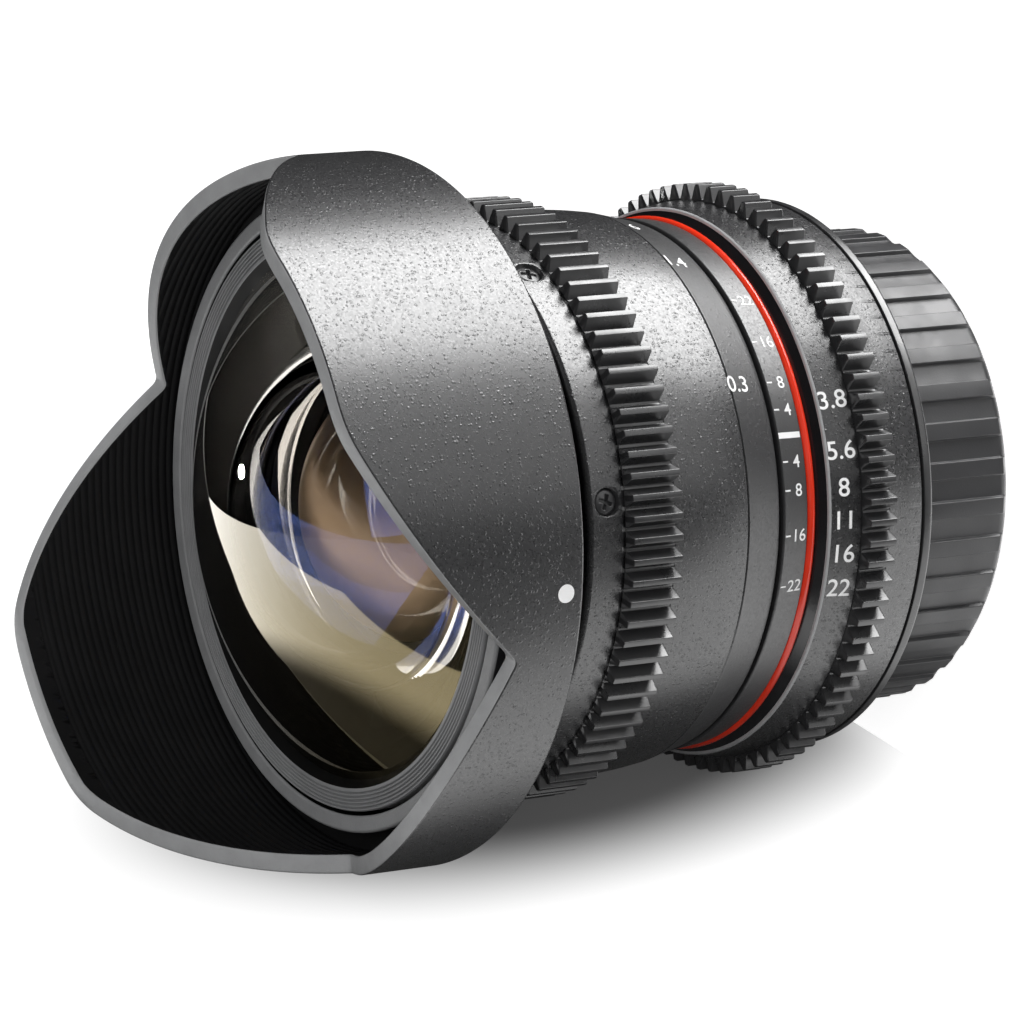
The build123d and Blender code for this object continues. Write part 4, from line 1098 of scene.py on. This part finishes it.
# Where the painted shadow that gloss sees starts and ends, in the same ellipse's measure.
MIRRORED_SHADOW = (1.1, 1.5)
floor_white = pale_surface("floor_white", False, 0.6, 0.85)
floor = stage_plane("floor", (0, 0, 0), (0, 0, 1), (1, 0, 0), FLOOR_SIZE, FLOOR_SIZE, floor_white)
table_point = TABLE_NORMAL * TABLE_OFFSET / (TABLE_NORMAL @ TABLE_NORMAL)
along_y = np.array([0.0, 1.0, 0.0])
along_y = along_y - TABLE_NORMAL * (along_y @ TABLE_NORMAL) / (TABLE_NORMAL @ TABLE_NORMAL)
along_y = along_y / np.linalg.norm(along_y)
reach = (TABLE_EDGE_Y - table_point[1]) / along_y[1]
ahead = np.cross(TABLE_NORMAL / np.linalg.norm(TABLE_NORMAL), along_y)
sheet_edges = [(ahead, SHEET_END), (ahead - CUT_SLANT * along_y, SHEET_CUT)]
floor.visible_glossy = False
floor.visible_shadow = False
# The card's glow is white for the camera except in the painted shadow; its dim matt tone catches the lamps'
# real shadow.
card_white = pale_surface("card_white", True, 0.12, 0.05, 1.9, SOFT_SHADOW, sheet_edges)
card_centre = table_point + along_y * (reach - CARD_WIDE / 2)
stage_plane("table_card", card_centre, TABLE_NORMAL, along_y, CARD_WIDE, CARD_HIGH, card_white)
far_white = pale_surface("far_white", True, 0.3, 1.0)
far_centre = table_point + along_y * (reach + CARD_WIDE / 2)
far_card = stage_plane("far_card", far_centre, TABLE_NORMAL, along_y, CARD_WIDE, CARD_HIGH, far_white)
far_card.visible_glossy = False
far_card.visible_diffuse = False
print("table edge at mm:", (table_point + along_y * reach).round(1))

# %% Lights and background


def softbox(name, direction, distance_mm, wide_mm, high_mm, watts, aim_mm=(0, 0, 55)):
    """A rectangular lamp in a direction from the lens, turned to face it."""
    data = bpy.data.lights.new(name, "AREA")
    data.shape = "RECTANGLE"
    data.size, data.size_y = wide_mm * MM, high_mm * MM
    data.energy = watts
    lamp = new_object(name, data)
    direction = Vector(direction).normalized()
    lamp.location = Vector(aim_mm) * MM + direction * distance_mm * MM
    lamp.rotation_euler = direction.to_track_quat("Z", "Y").to_euler()
    return lamp


# Each lamp: direction from the lens, distance, width and height in mm, watts.
softbox("key_softbox", (0.81, -0.26, -0.53), 650, 500, 420, 8.2)
fill = softbox("fill_softbox", (0.1, -0.8, 0.6), 900, 700, 700, 3.0)
fill.visible_glossy = False
softbox("front_softbox", (0.3, -0.8, -0.45), 900, 600, 500, 1.3)
spot = softbox("small_lamp", (0.1, 0.856, 0.507), 900, 34, 56, 3.0)
spot.data.shape = "ELLIPSE"

world = bpy.data.worlds.new("studio")
bpy.context.scene.world = world
world.use_nodes = True
tree = world.node_tree
background = tree.nodes["Background"]
path = add(tree, "ShaderNodeLightPath")
seen = math_node(tree, "MAXIMUM", path.outputs["Is Camera Ray"], path.outputs["Is Transmission Ray"])
seen = math_node(tree, "MAXIMUM", seen, path.outputs["Is Glossy Ray"])
background.inputs["Color"].default_value = (1, 1, 1, 1)
tree.links.new(ramp(tree, seen, 0.0, 1.0, 0.7, 1.0), background.inputs["Strength"])


def dark_ceiling(distance_mm=1600, half_angle_deg=115):
    """A black flag far above the table, which only reflections see, as in a darkened studio."""
    i, j = np.meshgrid(np.linspace(0, 1, 24), np.linspace(0, 1, 48), indexing="ij")
    up = TABLE_NORMAL / np.linalg.norm(TABLE_NORMAL)
    side = np.cross(up, [0, 0, 1.0])
    side = side / np.linalg.norm(side)
    third = np.cross(up, side)
    polar, round_it = (i * math.radians(half_angle_deg))[..., None], (j * 2 * np.pi)[..., None]
    out = np.cos(round_it) * side + np.sin(round_it) * third
    points = distance_mm * (np.cos(polar) * up + np.sin(polar) * out)
    mesh = bpy.data.meshes.new("dark_ceiling")
    mesh.from_pydata((points.reshape(-1, 3) * MM).tolist(), [], grid_faces(24, 48, False, False).tolist())
    material = bpy.data.materials.new("flag_black")
    material.use_nodes = True
    shader = material.node_tree.nodes["Principled BSDF"]
    shader.inputs["Base Color"].default_value = (0.0, 0.0, 0.0, 1)
    shader.inputs["Specular IOR Level"].default_value = 0.0
    mesh.materials.append(material)
    flag = new_object("dark_ceiling", mesh)
    for ray in ("camera", "diffuse", "shadow"):
        setattr(flag, f"visible_{ray}", False)


dark_ceiling()
print("lamps:", len(bpy.data.lights))
